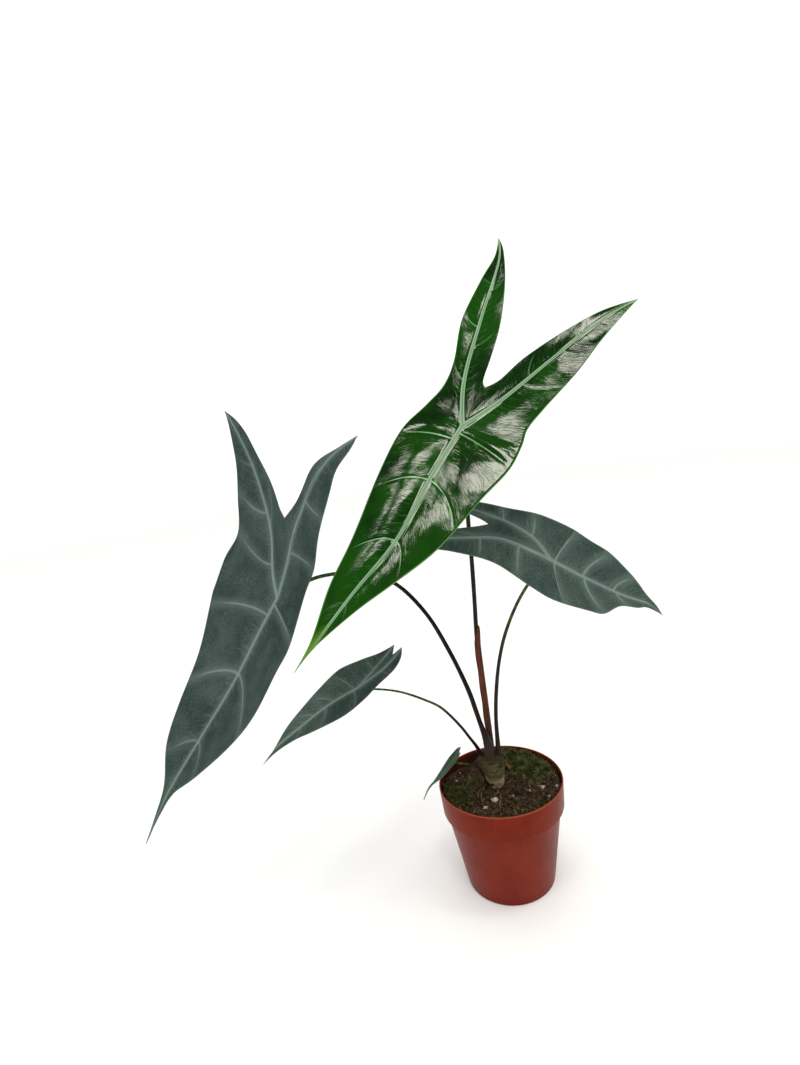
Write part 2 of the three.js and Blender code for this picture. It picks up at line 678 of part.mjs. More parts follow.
function soilGeometry() {
  const clear = ([r, z]) => [r - SOIL_FROM_WALL, z + SOIL_FROM_WALL];
  const [collarFoot, shelf, floorEdge] = potInside.slice(1).map(clear);
  const topRadius = collarFoot[0] + 0.3;
  const random = randomFrom(7);
  const ringAt = (radius, z) => Array.from({ length: SOIL_SECTORS }, (_, j) => {
    const turn = (2 * Math.PI * j) / SOIL_SECTORS;
    const x = radius * Math.cos(turn);
    const y = radius * Math.sin(turn);
    return new THREE.Vector3(x, y, z ?? soilHeight(x, y) + (random() - 0.5) * CRUMB_HEIGHT);
  });
  const rings = [floorEdge, shelf, collarFoot, [topRadius, 92]].map(([r, z]) => ringAt(r, z));
  for (let i = 0; i < SOIL_RINGS; i++) {
    rings.push(ringAt((topRadius - 0.5) * (1 - i / SOIL_RINGS)));
  }
  let solid = toSolid(closedGeometry(skin(rings)));
  const scattered = Array.from({ length: SMALL_GRAINS }, () => {
    const turn = 2 * Math.PI * random();
    const reach = 17 + 36 * random();
    return [reach * Math.cos(turn), reach * Math.sin(turn), 1.2 + 0.6 * random()];
  });
  for (const [x, y, size] of [...largeGrains, ...scattered]) {
    const grain = new THREE.IcosahedronGeometry(size, 0).scale(1, 0.85, 0.8);
    solid = solid.add(toSolid(grain.rotateZ(x + y).translate(x, y, soilHeight(x, y))));
  }
  for (const standing of [rootstockGeometry(GAP), budGeometry(GAP)]) {
    solid = solid.subtract(toSolid(standing));
  }
  return fromSolid(solid);
}

function socketedRootstock() {
  let solid = toSolid(rootstockGeometry());
  for (const name of Object.keys(stalks)) {
    solid = solid.subtract(toSolid(stalkGeometry(name, GAP)));
  }
  return fromSolid(solid.subtract(toSolid(sheathGeometry(GAP))));
}

place('pot', potGeometry(), looks.pot);
place('soil', soilGeometry(), looks.soil);
place('rootstock', socketedRootstock(), looks.stock);
place('sheath', sheathGeometry(), looks.sheath);
place('bud', budGeometry(), looks.bud);

export default group;
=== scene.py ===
import math

import bmesh
import bpy
import numpy as np
from mathutils import Matrix, Vector, noise


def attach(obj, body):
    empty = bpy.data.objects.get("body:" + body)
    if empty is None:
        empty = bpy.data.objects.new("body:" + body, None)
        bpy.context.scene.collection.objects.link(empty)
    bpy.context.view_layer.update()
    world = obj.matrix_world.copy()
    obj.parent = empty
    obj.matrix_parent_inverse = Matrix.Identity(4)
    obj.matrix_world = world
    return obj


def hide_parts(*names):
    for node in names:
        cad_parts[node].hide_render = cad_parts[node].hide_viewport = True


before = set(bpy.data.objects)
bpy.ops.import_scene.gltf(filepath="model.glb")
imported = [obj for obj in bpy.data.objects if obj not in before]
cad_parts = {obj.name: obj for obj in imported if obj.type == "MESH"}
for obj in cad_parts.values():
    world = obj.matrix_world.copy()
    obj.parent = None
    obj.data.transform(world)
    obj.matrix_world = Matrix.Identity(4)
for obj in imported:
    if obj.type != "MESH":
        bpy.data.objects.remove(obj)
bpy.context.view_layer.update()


# CAMERA
# Half a metre in front of the plant, level with the joint of the tallest leaf
# and looking a little down, turned slightly so that the pot leans.
CAMERA_PLACE = (-0.0626, -0.5382, 0.4544)
CAMERA_RIGHT = (0.9898, -0.0244, -0.14)
CAMERA_AHEAD = (0, 0.9851, -0.172)
LENS = 20.417
SENSOR_WIDTH = 36
camera_data = bpy.data.cameras.new("camera")
camera_data.lens = LENS
camera_data.sensor_width = SENSOR_WIDTH
camera = bpy.data.objects.new("camera", camera_data)
bpy.context.scene.collection.objects.link(camera)
camera_right = Vector(CAMERA_RIGHT).normalized()
camera_ahead = Vector(CAMERA_AHEAD).normalized()
camera_up = camera_right.cross(camera_ahead).normalized()
camera_turn = Matrix((camera_right, camera_up, -camera_ahead)).transposed()
camera.matrix_world = Matrix.Translation(CAMERA_PLACE) @ camera_turn.to_4x4()
bpy.context.scene.camera = camera


# FLOOR AND LIGHT
# A pale floor under a bright even sky, with three window-like soft lights high
# in front whose mirror images fall on the halves of the glossy leaf.
MM = 0.001
FLOOR_RADIUS = 4000
FLOOR_SIDES = 96
WARM_WHITE = (1.0, 0.97, 0.85)
LEAF_MIDDLE = (0, -0.07, 0.42)


def turns_of(count):
    """Even steps round a full circle"""
    return np.linspace(0, 2 * math.pi, count, endpoint=False)


def off_axis(reach, turn):
    return reach * math.cos(turn), reach * math.sin(turn)


def piece_from(name, points, faces):
    """A smooth mesh piece from points in millimetres and lists of corners"""
    mesh = bpy.data.meshes.new(name)
    corners = [list(map(int, face)) for face in faces]
    mesh.from_pydata((np.asarray(points, float) * MM).tolist(), [], corners)
    mesh.polygons.foreach_set("use_smooth", [True] * len(mesh.polygons))
    mesh.update()
    piece = bpy.data.objects.new(name, mesh)
    bpy.context.scene.collection.objects.link(piece)
    return piece


def add(tree, kind, inputs=None, **settings):
    """One node with its settings, its values and its links"""
    made = tree.nodes.new(kind)
    for key, value in settings.items():
        setattr(made, key, value)
    for key, value in (inputs or {}).items():
        if isinstance(value, bpy.types.NodeSocket):
            tree.links.new(value, made.inputs[key])
        else:
            made.inputs[key].default_value = value
    return made


def maths(tree, operation, *values):
    return add(tree, "ShaderNodeMath", dict(enumerate(values)), operation=operation).outputs[0]


def times(tree, one, two):
    return maths(tree, "MULTIPLY", one, two)


def ease(tree, value, low, high, start=0.0, end=1.0):
    """Goes smoothly from start to end while value goes from low to high"""
    inputs = {"Value": value, "From Min": low, "From Max": high, "To Min": start, "To Max": end}
    return add(tree, "ShaderNodeMapRange", inputs, interpolation_type="SMOOTHSTEP").outputs[0]


def blend_colour(tree, share, one, two):
    return add(tree, "ShaderNodeMix", {0: share, 6: one, 7: two}, data_type="RGBA").outputs[2]


def cloudy(tree, place, scale, detail=3.0, roughness=0.55):
    inputs = {"Vector": place, "Scale": scale, "Detail": detail, "Roughness": roughness}
    return add(tree, "ShaderNodeTexNoise", inputs).outputs[0]


def new_look(name, **values):
    look = bpy.data.materials.new(name)
    look.use_nodes = True
    shader = look.node_tree.nodes["Principled BSDF"]
    for key, value in values.items():
        shader.inputs[key.replace("_", " ")].default_value = value
    return look, look.node_tree, shader


def join(tree, socket, shader, name):
    tree.links.new(socket, shader.inputs[name])


def own_place(tree):
    return add(tree, "ShaderNodeTexCoord").outputs["Object"]


def bump(tree, height, strength=1.0):
    """A bump whose height is in millimetres"""
    inputs = {"Height": height, "Strength": strength, "Distance": MM}
    return add(tree, "ShaderNodeBump", inputs).outputs[0]


floor_ring = [(*off_axis(FLOOR_RADIUS, turn), 0) for turn in turns_of(FLOOR_SIDES)]
floor = piece_from("floor", floor_ring, [range(FLOOR_SIDES)])
floor_look, tree, shader = new_look("floor", Roughness=0.9)
shade = ease(tree, cloudy(tree, own_place(tree), 3.0), 0.3, 0.7)
near_white = blend_colour(tree, shade, (0.98, 0.98, 0.985, 1), (0.99, 0.99, 0.995, 1))
join(tree, near_white, shader, "Base Color")
floor.data.materials.append(floor_look)

sky = bpy.data.worlds.new("sky")
bpy.context.scene.world = sky
sky.use_nodes = True
sky_tree = sky.node_tree
sky_tree.nodes.clear()
seen_by = add(sky_tree, "ShaderNodeLightPath")
sky_even = add(sky_tree, "ShaderNodeBackground", {"Color": (1, 0.995, 0.98, 1), "Strength": 1.06})
sky_bright = add(sky_tree, "ShaderNodeBackground", {"Color": (1, 1, 1, 1), "Strength": 1.2})
sky_dim = add(sky_tree, "ShaderNodeBackground", {"Color": (0.9, 1, 0.95, 1), "Strength": 0.07})
sky_seen = add(sky_tree, "ShaderNodeMixShader",
               {0: seen_by.outputs["Is Camera Ray"], 1: sky_even.outputs[0], 2: sky_bright.outputs[0]})
sky_all = add(sky_tree, "ShaderNodeMixShader",
              {0: seen_by.outputs["Is Glossy Ray"], 1: sky_seen.outputs[0], 2: sky_dim.outputs[0]})
add(sky_tree, "ShaderNodeOutputWorld", {"Surface": sky_all.outputs[0]})


def soft_light(name, place, target, size, watts):
    light = bpy.data.lights.new(name, "AREA")
    light.shape = "RECTANGLE"
    light.size, light.size_y = size
    light.energy = watts
    light.color = WARM_WHITE
    lamp = bpy.data.objects.new(name, light)
    bpy.context.scene.collection.objects.link(lamp)
    lamp.location = place
    lamp.rotation_euler = (Vector(target) - Vector(place)).to_track_quat("-Z", "Y").to_euler()


soft_light("window", (0.075, -1.175, 2.3), LEAF_MIDDLE, (0.45, 0.39), 7.7)
soft_light("left_window", (-0.525, -0.875, 2.3), LEAF_MIDDLE, (0.28, 0.27), 3.0)
soft_light("side_window", (0.69, -0.31, 2.3), (0.1, -0.03, 0.49), (0.3, 0.49), 5.6)
bpy.context.scene.view_settings.view_transform = "Standard"


# POT
# A thin nursery pot moulded in terracotta-orange plastic: flat base with a
# ring of drain holes, tapering body, and a wider collar above a small step.
POT_HEIGHT = 105
RIM_RADIUS = 60
POT_WALL = 1.2
BODY_TOP_RADIUS = 55.5
BASE_RADIUS = 43
COLLAR_HEIGHT = 26
COLLAR_TAPER = 1.3
LIP_WIDTH = 1.3
LIP_DROP = 0.7
BASE_THICKNESS = 1.8
STEP_HEIGHT = POT_HEIGHT - COLLAR_HEIGHT
STEP_RADIUS = RIM_RADIUS - COLLAR_TAPER
POT_SIDES = 160
CORNER_RADIUS = 0.8
# The drain holes, in metres
DRAIN = {"Count": 8, "Hole Radius": 0.004, "Circle Radius": 0.031, "Cutter Height": 0.01}
pot_inside = [
    (RIM_RADIUS - LIP_WIDTH, POT_HEIGHT - LIP_DROP),
    (STEP_RADIUS - POT_WALL, STEP_HEIGHT + POT_WALL + 0.3),
    (BODY_TOP_RADIUS - POT_WALL, STEP_HEIGHT + POT_WALL - 0.8),
    (BASE_RADIUS - POT_WALL, BASE_THICKNESS),
]
pot_outline = [
    (0, 0), (BASE_RADIUS - 1, 0), (BASE_RADIUS, 1), (BODY_TOP_RADIUS, STEP_HEIGHT - 1),
    (STEP_RADIUS - 0.4, STEP_HEIGHT), (STEP_RADIUS, STEP_HEIGHT + 0.5),
    (RIM_RADIUS, POT_HEIGHT - LIP_DROP), (RIM_RADIUS - 0.4, POT_HEIGHT), (RIM_RADIUS - 1, POT_HEIGHT),
    *pot_inside, (0, BASE_THICKNESS),
]


def unit(vector):
    vector = np.asarray(vector, float)
    return vector / np.linalg.norm(vector)


def softened(outline, radius, steps=4):
    """The outline with each inner corner cut by a small curve"""
    line = [outline[0]]
    for before, corner, after in zip(outline, outline[1:], outline[2:]):
        b, c, a = (np.asarray(p, float) for p in (before, corner, after))
        reach = min(radius, np.linalg.norm(b - c) / 2.2, np.linalg.norm(a - c) / 2.2)
        one, two = c + unit(b - c) * reach, c + unit(a - c) * reach
        for t in np.linspace(0, 1, steps):
            line.append(tuple((1 - t)**2 * one + 2 * t * (1 - t) * c + t * t * two))
    return [*line, outline[-1]]


def turned(outline, sides):
    """A closed shape of revolution whose outline starts and ends on the axis"""
    points = [(0, 0, outline[0][1]), (0, 0, outline[-1][1])]
    faces = []
    for radius, z in outline[1:-1]:
        points += [(*off_axis(radius, turn), z) for turn in turns_of(sides)]
    rings = len(outline) - 2
    for j in range(sides):
        k = (j + 1) % sides
        faces += [[2 + i * sides + j, 2 + i * sides + k, 2 + (i + 1) * sides + k, 2 + (i + 1) * sides + j]
                  for i in range(rings - 1)]
        faces += [[0, 2 + k, 2 + j], [1, 2 + (rings - 1) * sides + j, 2 + (rings - 1) * sides + k]]
    return points, faces


def new_tree(name, inputs):
    """A geometry tree with named inputs, and the sockets that hold them"""
    tree = bpy.data.node_groups.new(name, "GeometryNodeTree")
    tree.interface.new_socket("Geometry", in_out="INPUT", socket_type="NodeSocketGeometry")
    for label, value in inputs.items():
        kind = "NodeSocketInt" if isinstance(value, int) else "NodeSocketFloat"
        tree.interface.new_socket(label, in_out="INPUT", socket_type=kind)
    tree.interface.new_socket("Geometry", in_out="OUTPUT", socket_type="NodeSocketGeometry")
    return tree, add(tree, "NodeGroupInput").outputs


def finish_tree(tree, geometry, look):
    real = add(tree, "GeometryNodeRealizeInstances", {"Geometry": geometry})
    dressed = add(tree, "GeometryNodeSetMaterial", {"Geometry": real.outputs[0], "Material": look})
    add(tree, "NodeGroupOutput", {"Geometry": dressed.outputs[0]})


def grown(name, start, tree, inputs):
    """What a geometry tree makes from a piece, as a plain mesh piece of its own"""
    holder = bpy.data.objects.new(name + "_start", start.data)
    bpy.context.scene.collection.objects.link(holder)
    modifier = holder.modifiers.new("grow", "NODES")
    modifier.node_group = tree
    for item in tree.interface.items_tree:
        if item.in_out == "INPUT" and item.name in inputs:
            modifier[item.identifier] = inputs[item.name]
    shown = holder.evaluated_get(bpy.context.evaluated_depsgraph_get())
    mesh = bpy.data.meshes.new_from_object(shown)
    mesh.name = name
    bpy.data.objects.remove(holder)
    piece = bpy.data.objects.new(name, mesh)
    bpy.context.scene.collection.objects.link(piece)
    return piece


def height_of(tree, place):
    return add(tree, "ShaderNodeSeparateXYZ", {0: place}).outputs[2]


def scaled_up(tree, place, by):
    """A place whose height is scaled, which draws a pattern out or flattens it"""
    return add(tree, "ShaderNodeMapping", {"Vector": place, "Scale": (1, 1, by)}).outputs[0]


pot_look, tree, shader = new_look("pot_plastic", Roughness=0.4, Specular_IOR_Level=0.1)
place = own_place(tree)
height = height_of(tree, place)
clay = blend_colour(tree, ease(tree, cloudy(tree, place, 30.0, 4.0), 0.3, 0.7),
                    (0.135, 0.0095, 0.0015, 1), (0.175, 0.014, 0.003, 1))
streaks = cloudy(tree, scaled_up(tree, place, 0.08), 420.0, 3.0)
clay = blend_colour(tree, ease(tree, streaks, 0.55, 0.75, 0.0, 0.25), clay, (0.27, 0.045, 0.017, 1))
scuffs = ease(tree, cloudy(tree, place, 160.0, 5.0, 0.7), 0.58, 0.72, 0.0, 0.35)
clay = blend_colour(tree, scuffs, clay, (0.12, 0.016, 0.005, 1))
rim_at, step_at = POT_HEIGHT * MM, STEP_HEIGHT * MM
# Painted highlight: the clay turns lighter over the top millimetre and a half of the rim
rim_highlight = ease(tree, height, rim_at - 0.0015, rim_at - 0.0002, 0.0, 0.5)
clay = blend_colour(tree, rim_highlight, clay, (0.42, 0.1, 0.05, 1))

# Painted shade darkens the inside of the collar, which widens upwards: patchy, from just above the step
# and weaker near the rim
(lip_radius, lip_height), (foot_radius, foot_height) = pot_inside[:2]
flare = (lip_radius - foot_radius) / (lip_height - foot_height)
wall_middle = (foot_radius + POT_WALL / 2 - flare * foot_height) * MM
in_plan = add(tree, "ShaderNodeVectorMath", {0: place, 1: (1, 1, 0)}, operation="MULTIPLY").outputs[0]
radius = add(tree, "ShaderNodeVectorMath", {0: in_plan}, operation="LENGTH").outputs["Value"]
from_axis = maths(tree, "MULTIPLY_ADD", height, -flare, radius)
collar_shade = ease(tree, cloudy(tree, place, 70.0, 4.0), 0.3, 0.6, 0.6, 0.95)
for share in (ease(tree, from_axis, wall_middle - 0.0002, wall_middle + 0.0002, 1.0, 0.0),
              ease(tree, height, rim_at - 0.005, rim_at - 0.0014, 1.0, 0.3),
              ease(tree, height, step_at + 0.001, step_at + 0.004)):
    collar_shade = times(tree, collar_shade, share)
clay = blend_colour(tree, collar_shade, clay, (0.022, 0.01, 0.006, 1))
join(tree, clay, shader, "Base Color")
join(tree, maths(tree, "MULTIPLY_ADD", streaks, 0.25, 0.26), shader, "Roughness")
join(tree, bump(tree, times(tree, cloudy(tree, place, 700.0, 2.0), 0.05)), shader, "Normal")

tree, given = new_tree("drain_holes", DRAIN)
circle = add(tree, "GeometryNodeMeshCircle",
             {"Vertices": given["Count"], "Radius": given["Circle Radius"]})
cutter = add(tree, "GeometryNodeMeshCylinder",
             {"Vertices": 24, "Radius": given["Hole Radius"], "Depth": given["Cutter Height"]})
cutters = add(tree, "GeometryNodeInstanceOnPoints",
              {"Points": circle.outputs[0], "Instance": cutter.outputs[0]})
whole_cutters = add(tree, "GeometryNodeRealizeInstances", {"Geometry": cutters.outputs[0]})
holed = add(tree, "GeometryNodeMeshBoolean",
            {"Mesh 1": given["Geometry"], "Mesh 2": whole_cutters.outputs[0]}, operation="DIFFERENCE")
finish_tree(tree, holed.outputs[0], pot_look)
blank = piece_from("pot_blank", *turned(softened(pot_outline, CORNER_RADIUS), POT_SIDES))
nursery_pot = grown("nursery_pot", blank, tree, DRAIN)
bpy.data.objects.remove(blank)
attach(nursery_pot, "root")
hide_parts("pot")


# SOIL
# Potting mix that fills the pot to a little under the rim: a crumbly dark top
# with a moss mound at the back right, a clod at the left and a hollow behind it.
SOIL_LEVEL = 97.5
SOIL_GAP = 0.35
SOIL_SECTORS = 220
SOIL_RINGS = 58
SOIL_COLLAR_TOP = 92
SOIL_FACE_FROM = 94
LITTER_REACH = 56
# Mounds and hollows, each as x, y, rise and spread
SOIL_RISES = ((20, 42, 7.2, 30), (-3, -2, 2.2, 16), (-33, 2, 2.6, 14), (-26, 40, -4.5, 18))
# Cushions, each as x, y, reach and how thickly the moss grows
MOSS_CUSHIONS = (
    (32, 22, 23, 1.2), (10, 40, 19, 1.2), (-42, -6, 15, 0.75), (-25, 4, 12, 0.7), (47, 2, 8, 0.5),
)


def hill(x, y, centre_x, centre_y, spread):
    """One at a hill's centre, falling away smoothly round it"""
    return math.exp(-((x - centre_x)**2 + (y - centre_y)**2) / spread**2)


def soil_height(x, y):
    """The broad form of the top, with its waves"""
    slope = 0.02 * x - 0.022 * y
    rises = sum(rise * hill(x, y, *centre, spread) for *centre, rise, spread in SOIL_RISES)
    crumbs = math.sin(0.41 * x + 1.3) * math.sin(0.37 * y + 0.4) + 0.6 * math.sin(0.83 * x - 0.71 * y)
    return SOIL_LEVEL + slope + rises + 0.78 * crumbs


def soil_top(x, y):
    """The top as seen, with its clods"""
    clods = noise.fractal(Vector((x / 7, y / 7, 3)), 0.7, 2.1, 5)
    pits = noise.noise(Vector((x / 2.4, y / 2.4, 9)))
    return soil_height(x, y) + 1.1 * clods - 0.7 * max(0, pits)


def moss_share(x, y):
    share = max(thick * hill(x, y, *centre, reach) for *centre, reach, thick in MOSS_CUSHIONS)
    ragged = 0.5 + 0.9 * noise.noise(Vector((x / 6, y / 6, 1)))
    return min(1, max(0, share * 1.5 * (0.4 + ragged) - 0.25))


collar_foot, shelf, floor_edge = [(r - SOIL_GAP, z + SOIL_GAP) for r, z in pot_inside[1:]]
top_radius = collar_foot[0] + 0.25
soil_outline = [floor_edge, shelf, collar_foot, (top_radius, SOIL_COLLAR_TOP)]
points, faces = [(0, 0, floor_edge[1])], []
for radius, z in soil_outline:
    points += [(*off_axis(radius, turn), z) for turn in turns_of(SOIL_SECTORS)]
for i in range(SOIL_RINGS):
    radius = top_radius * (1 - i / SOIL_RINGS)
    spots = [off_axis(radius, turn) for turn in turns_of(SOIL_SECTORS)]
    points += [(x, y, soil_top(x, y)) for x, y in spots]
points.append((0, 0, soil_top(0, 0)))
levels = len(soil_outline) + SOIL_RINGS
for j in range(SOIL_SECTORS):
    k = (j + 1) % SOIL_SECTORS
    ring = [1 + i * SOIL_SECTORS for i in range(levels)]
    faces += [[a + j, a + k, b + k, b + j] for a, b in zip(ring, ring[1:])]
    faces += [[0, ring[0] + k, ring[0] + j], [len(points) - 1, ring[-1] + j, ring[-1] + k]]
potting_soil = piece_from("potting_soil", points, faces)


def mark(piece, key, values):
    """One value for each point of a piece, by which a look or a scatter is led"""
    attribute = piece.data.attributes.new(key, "FLOAT", "POINT")
    attribute.data.foreach_set("value", values)


def stored(tree, key):
    return add(tree, "ShaderNodeAttribute", attribute_name=key).outputs


on_top = [z > SOIL_FACE_FROM for x, y, z in points]
within = [math.hypot(x, y) < LITTER_REACH for x, y, z in points]
mark(potting_soil, "moss", [moss_share(x, y) if top else 0 for (x, y, z), top in zip(points, on_top)])
mark(potting_soil, "open", [float(top and near) for top, near in zip(on_top, within)])

soil_look, tree, shader = new_look("soil", Roughness=0.95, Specular_IOR_Level=0.15)
place = own_place(tree)
earth = blend_colour(tree, ease(tree, cloudy(tree, place, 110.0, 5.0, 0.7), 0.35, 0.65),
                     (0.014, 0.009, 0.005, 1), (0.066, 0.041, 0.019, 1))
cracks = ease(tree, cloudy(tree, place, 75.0, 3.0, 0.6), 0.5, 0.62, 0.0, 0.7)
earth = blend_colour(tree, cracks, earth, (0.0065, 0.004, 0.002, 1))
flecks = add(tree, "ShaderNodeTexVoronoi", {"Vector": place, "Scale": 480.0}).outputs["Distance"]
earth = blend_colour(tree, ease(tree, flecks, 0.1, 0.28, 0.4, 0.0), earth, (0.15, 0.115, 0.07, 1))
moss_tone = blend_colour(tree, cloudy(tree, place, 260.0, 3.0),
                         (0.03, 0.042, 0.01, 1), (0.1, 0.115, 0.035, 1))
mossy = ease(tree, stored(tree, "moss")["Fac"], 0.1, 0.7, 0.0, 0.8)
earth = blend_colour(tree, mossy, earth, moss_tone)
join(tree, earth, shader, "Base Color")
grit = maths(tree, "MULTIPLY_ADD", flecks, -0.5, cloudy(tree, place, 520.0, 4.0, 0.7))
join(tree, bump(tree, grit), shader, "Normal")
potting_soil.data.materials.append(soil_look)
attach(potting_soil, "root")
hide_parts("soil")


# SOIL LITTER
# Loose bits lying on the soil: dark crumbs, pale coir threads, upright moss
# shoots on the cushions, and white grains of expanded mineral.
def scatter_tree(name, inputs, shape, look, mask, upright, uneven=0.0):
    """Copies of a shape spread over the ground where a stored share allows it"""
    tree, given = new_tree(name, inputs)
    share = add(tree, "GeometryNodeInputNamedAttribute", {"Name": mask}, data_type="FLOAT").outputs[0]
    spots = add(tree, "GeometryNodeDistributePointsOnFaces",
                {"Mesh": given["Geometry"], "Density": times(tree, given["Density"], share),
                 "Seed": given["Seed"]})
    spin_low = (-0.5, -0.5, -math.pi) if upright else (-math.pi, -math.pi, -math.pi)
    spin_high = tuple(-v for v in spin_low)
    spin = add(tree, "FunctionNodeRandomValue", {0: spin_low, 1: spin_high, "Seed": given["Seed"]},
               data_type="FLOAT_VECTOR").outputs[0]
    grade = add(tree, "FunctionNodeRandomValue",
                {2: given["Smallest"], 3: given["Largest"], "Seed": maths(tree, "ADD", given["Seed"], 7)},
                data_type="FLOAT").outputs[1]
    form = add(tree, "GeometryNodeObjectInfo", {"Object": shape}).outputs["Geometry"]
    copies = add(tree, "GeometryNodeInstanceOnPoints",
                 {"Points": spots.outputs["Points"], "Instance": form, "Rotation": spin, "Scale": grade})
    real = add(tree, "GeometryNodeRealizeInstances", {"Geometry": copies.outputs[0]}).outputs[0]
    if uneven:
        where = add(tree, "GeometryNodeInputPosition").outputs[0]
        dents = add(tree, "ShaderNodeTexNoise", {"Vector": where, "Scale": 420.0, "Detail": 1.0})
        centred = add(tree, "ShaderNodeVectorMath", {0: dents.outputs[1], 1: (0.5, 0.5, 0.5)},
                      operation="SUBTRACT")
        shift = add(tree, "ShaderNodeVectorMath", {0: centred.outputs[0], "Scale": uneven * MM},
                    operation="SCALE")
        moved = add(tree, "GeometryNodeSetPosition", {"Geometry": real, "Offset": shift.outputs[0]})
        real = moved.outputs[0]
    finish_tree(tree, real, look)
    return tree


def lump(radius, rounds, flat, rough):
    """A rough ball, pressed a little flat"""
    shape = bmesh.new()
    bmesh.ops.create_icosphere(shape, subdivisions=rounds, radius=1)
    points = [np.array(v.co) for v in shape.verts]
    faces = [[v.index for v in f.verts] for f in shape.faces]
    shape.free()
    swells = [1 + rough * noise.noise(Vector(p * 2.1 + radius * 5)) for p in points]
    return [p * radius * swell * (1, 1, flat) for p, swell in zip(points, swells)], faces


def litter_look(name, dark, light, scale, rough=0.95):
    look, tree, shader = new_look(name, Roughness=rough, Specular_IOR_Level=0.15)
    place = own_place(tree)
    tone = ease(tree, cloudy(tree, place, scale, 3.0, 0.7), 0.32, 0.68)
    join(tree, blend_colour(tree, tone, dark, light), shader, "Base Color")
    join(tree, bump(tree, cloudy(tree, place, scale * 4, 2.0), 0.35), shader, "Normal")
    return look


def scattered(name, shape, values, look, mask, upright=False, uneven=0.0):
    form = piece_from(name + "_form", *shape)
    tree = scatter_tree(name, values, form, look, mask, upright, uneven)
    piece = grown(name, potting_soil, tree, values)
    bpy.data.objects.remove(form)
    piece.data.polygons.foreach_set("use_smooth", [True] * len(piece.data.polygons))
    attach(piece, "root")
    return piece


def thread(points, radius, sides=3):
    """A thin closed strand through points"""
    ring = [off_axis(radius, turn) for turn in turns_of(sides)]
    made = [(x, y + across, z + up) for x, y, z in points for across, up in ring]
    faces = []
    for i in range(len(points) - 1):
        for j in range(sides):
            k = (j + 1) % sides
            faces.append([i * sides + j, (i + 1) * sides + j, (i + 1) * sides + k, i * sides + k])
    last = (len(points) - 1) * sides
    return made, [*faces, list(range(sides)), [last + j for j in reversed(range(sides))]]


def moss_shoot(leaf_count=6, half_width=0.16, middle_height=0.55):
    """A few pointed leaves that fan out from one foot"""
    points, faces = [], []
    for j, turn in enumerate(turns_of(leaf_count)):
        lean = 0.25 + 0.35 * (j % 3)
        foot = len(points)
        aside = np.array((-math.sin(turn), math.cos(turn), 0)) * half_width
        out = np.array((math.cos(turn), math.sin(turn), 0))
        middle = out * lean * 0.5 + (0, 0, middle_height)
        points += [tuple(-aside * 0.5), tuple(aside * 0.5), tuple(middle + aside), tuple(middle - aside),
                   tuple(out * lean + (0, 0, 1.0)), tuple(middle + out * 0.08)]
        faces += [[foot, foot + 1, foot + 5], [foot + 1, foot + 2, foot + 5], [foot, foot + 5, foot + 3],
                  [foot + 2, foot + 4, foot + 5], [foot + 3, foot + 5, foot + 4],
                  [foot, foot + 3, foot + 2, foot + 1], [foot + 2, foot + 3, foot + 4]]
    return points, faces


crumb_look = litter_look("soil_crumbs", (0.012, 0.0075, 0.004, 1), (0.088, 0.055, 0.026, 1), 240.0)
coir_look = litter_look("coir", (0.08, 0.05, 0.028, 1), (0.38, 0.28, 0.17, 1), 160.0, 0.8)
moss_look = litter_look("moss", (0.026, 0.04, 0.009, 1), (0.13, 0.15, 0.04, 1), 120.0, 0.85)
THREAD_HALF = 5
THREAD_RADIUS = 0.17
bend_line = [(x, 0.9 * math.sin(x / 2.6), 0.5 * math.sin(x / 3.7))
             for x in np.linspace(-THREAD_HALF, THREAD_HALF, 8)]
scattered("soil_crumbs", lump(radius=0.8, rounds=1, flat=0.8, rough=0.5),
          {"Density": 210000.0, "Smallest": 0.5, "Largest": 2.0, "Seed": 3},
          crumb_look, "open", uneven=1.6)
scattered("coir_threads", thread(bend_line, THREAD_RADIUS),
          {"Density": 46000.0, "Smallest": 0.4, "Largest": 1.3, "Seed": 11},
          coir_look, "open", uneven=2.0)
scattered("moss_shoots", moss_shoot(),
          {"Density": 900000.0, "Smallest": 1.0, "Largest": 2.6, "Seed": 5},
          moss_look, "moss", upright=True)

# White mineral grains, each as x, y and radius, pressed half into the soil: seven
# where they show best, and small ones strewn between them
grain_look = litter_look("mineral_grains", (0.24, 0.21, 0.16, 1), (0.5, 0.46, 0.38, 1), 300.0, 0.85)
grains = [(-10, -24, 3.2), (-20, -32, 2.1), (38, -15, 2.4), (24, -18, 1.5), (51, -16, 1.5),
          (-49, -12, 1.5), (40, -29, 1.5)]
SMALL_GRAINS = 9
NEAREST_GRAIN, FARTHEST_GRAIN = 17, 54
GRAIN_SEED = 4
grain_random = np.random.default_rng(GRAIN_SEED)
for _ in range(SMALL_GRAINS):
    turn = 2 * math.pi * grain_random.random()
    reach = NEAREST_GRAIN + (FARTHEST_GRAIN - NEAREST_GRAIN) * grain_random.random()
    grains.append((*off_axis(reach, turn), 0.5 + 0.5 * grain_random.random()))
points, faces = [], []
for x, y, radius in grains:
    formed, sides = lump(radius, rounds=3, flat=0.8, rough=0.55)
    faces += [[i + len(points) for i in side] for side in sides]
    points += [tuple(p + (x, y, soil_top(x, y) + 0.25 * radius)) for p in formed]
mineral_grains = piece_from("mineral_grains", points, faces)
mineral_grains.data.materials.append(grain_look)
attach(mineral_grains, "root")


# ROOTSTOCK
# The stubby stem that stands in the soil: brown bark ringed by the scars of
# fallen leaves, half grown over with moss. It narrows downwards.
STOCK_SIDES = 64
STOCK_LEVELS = 120
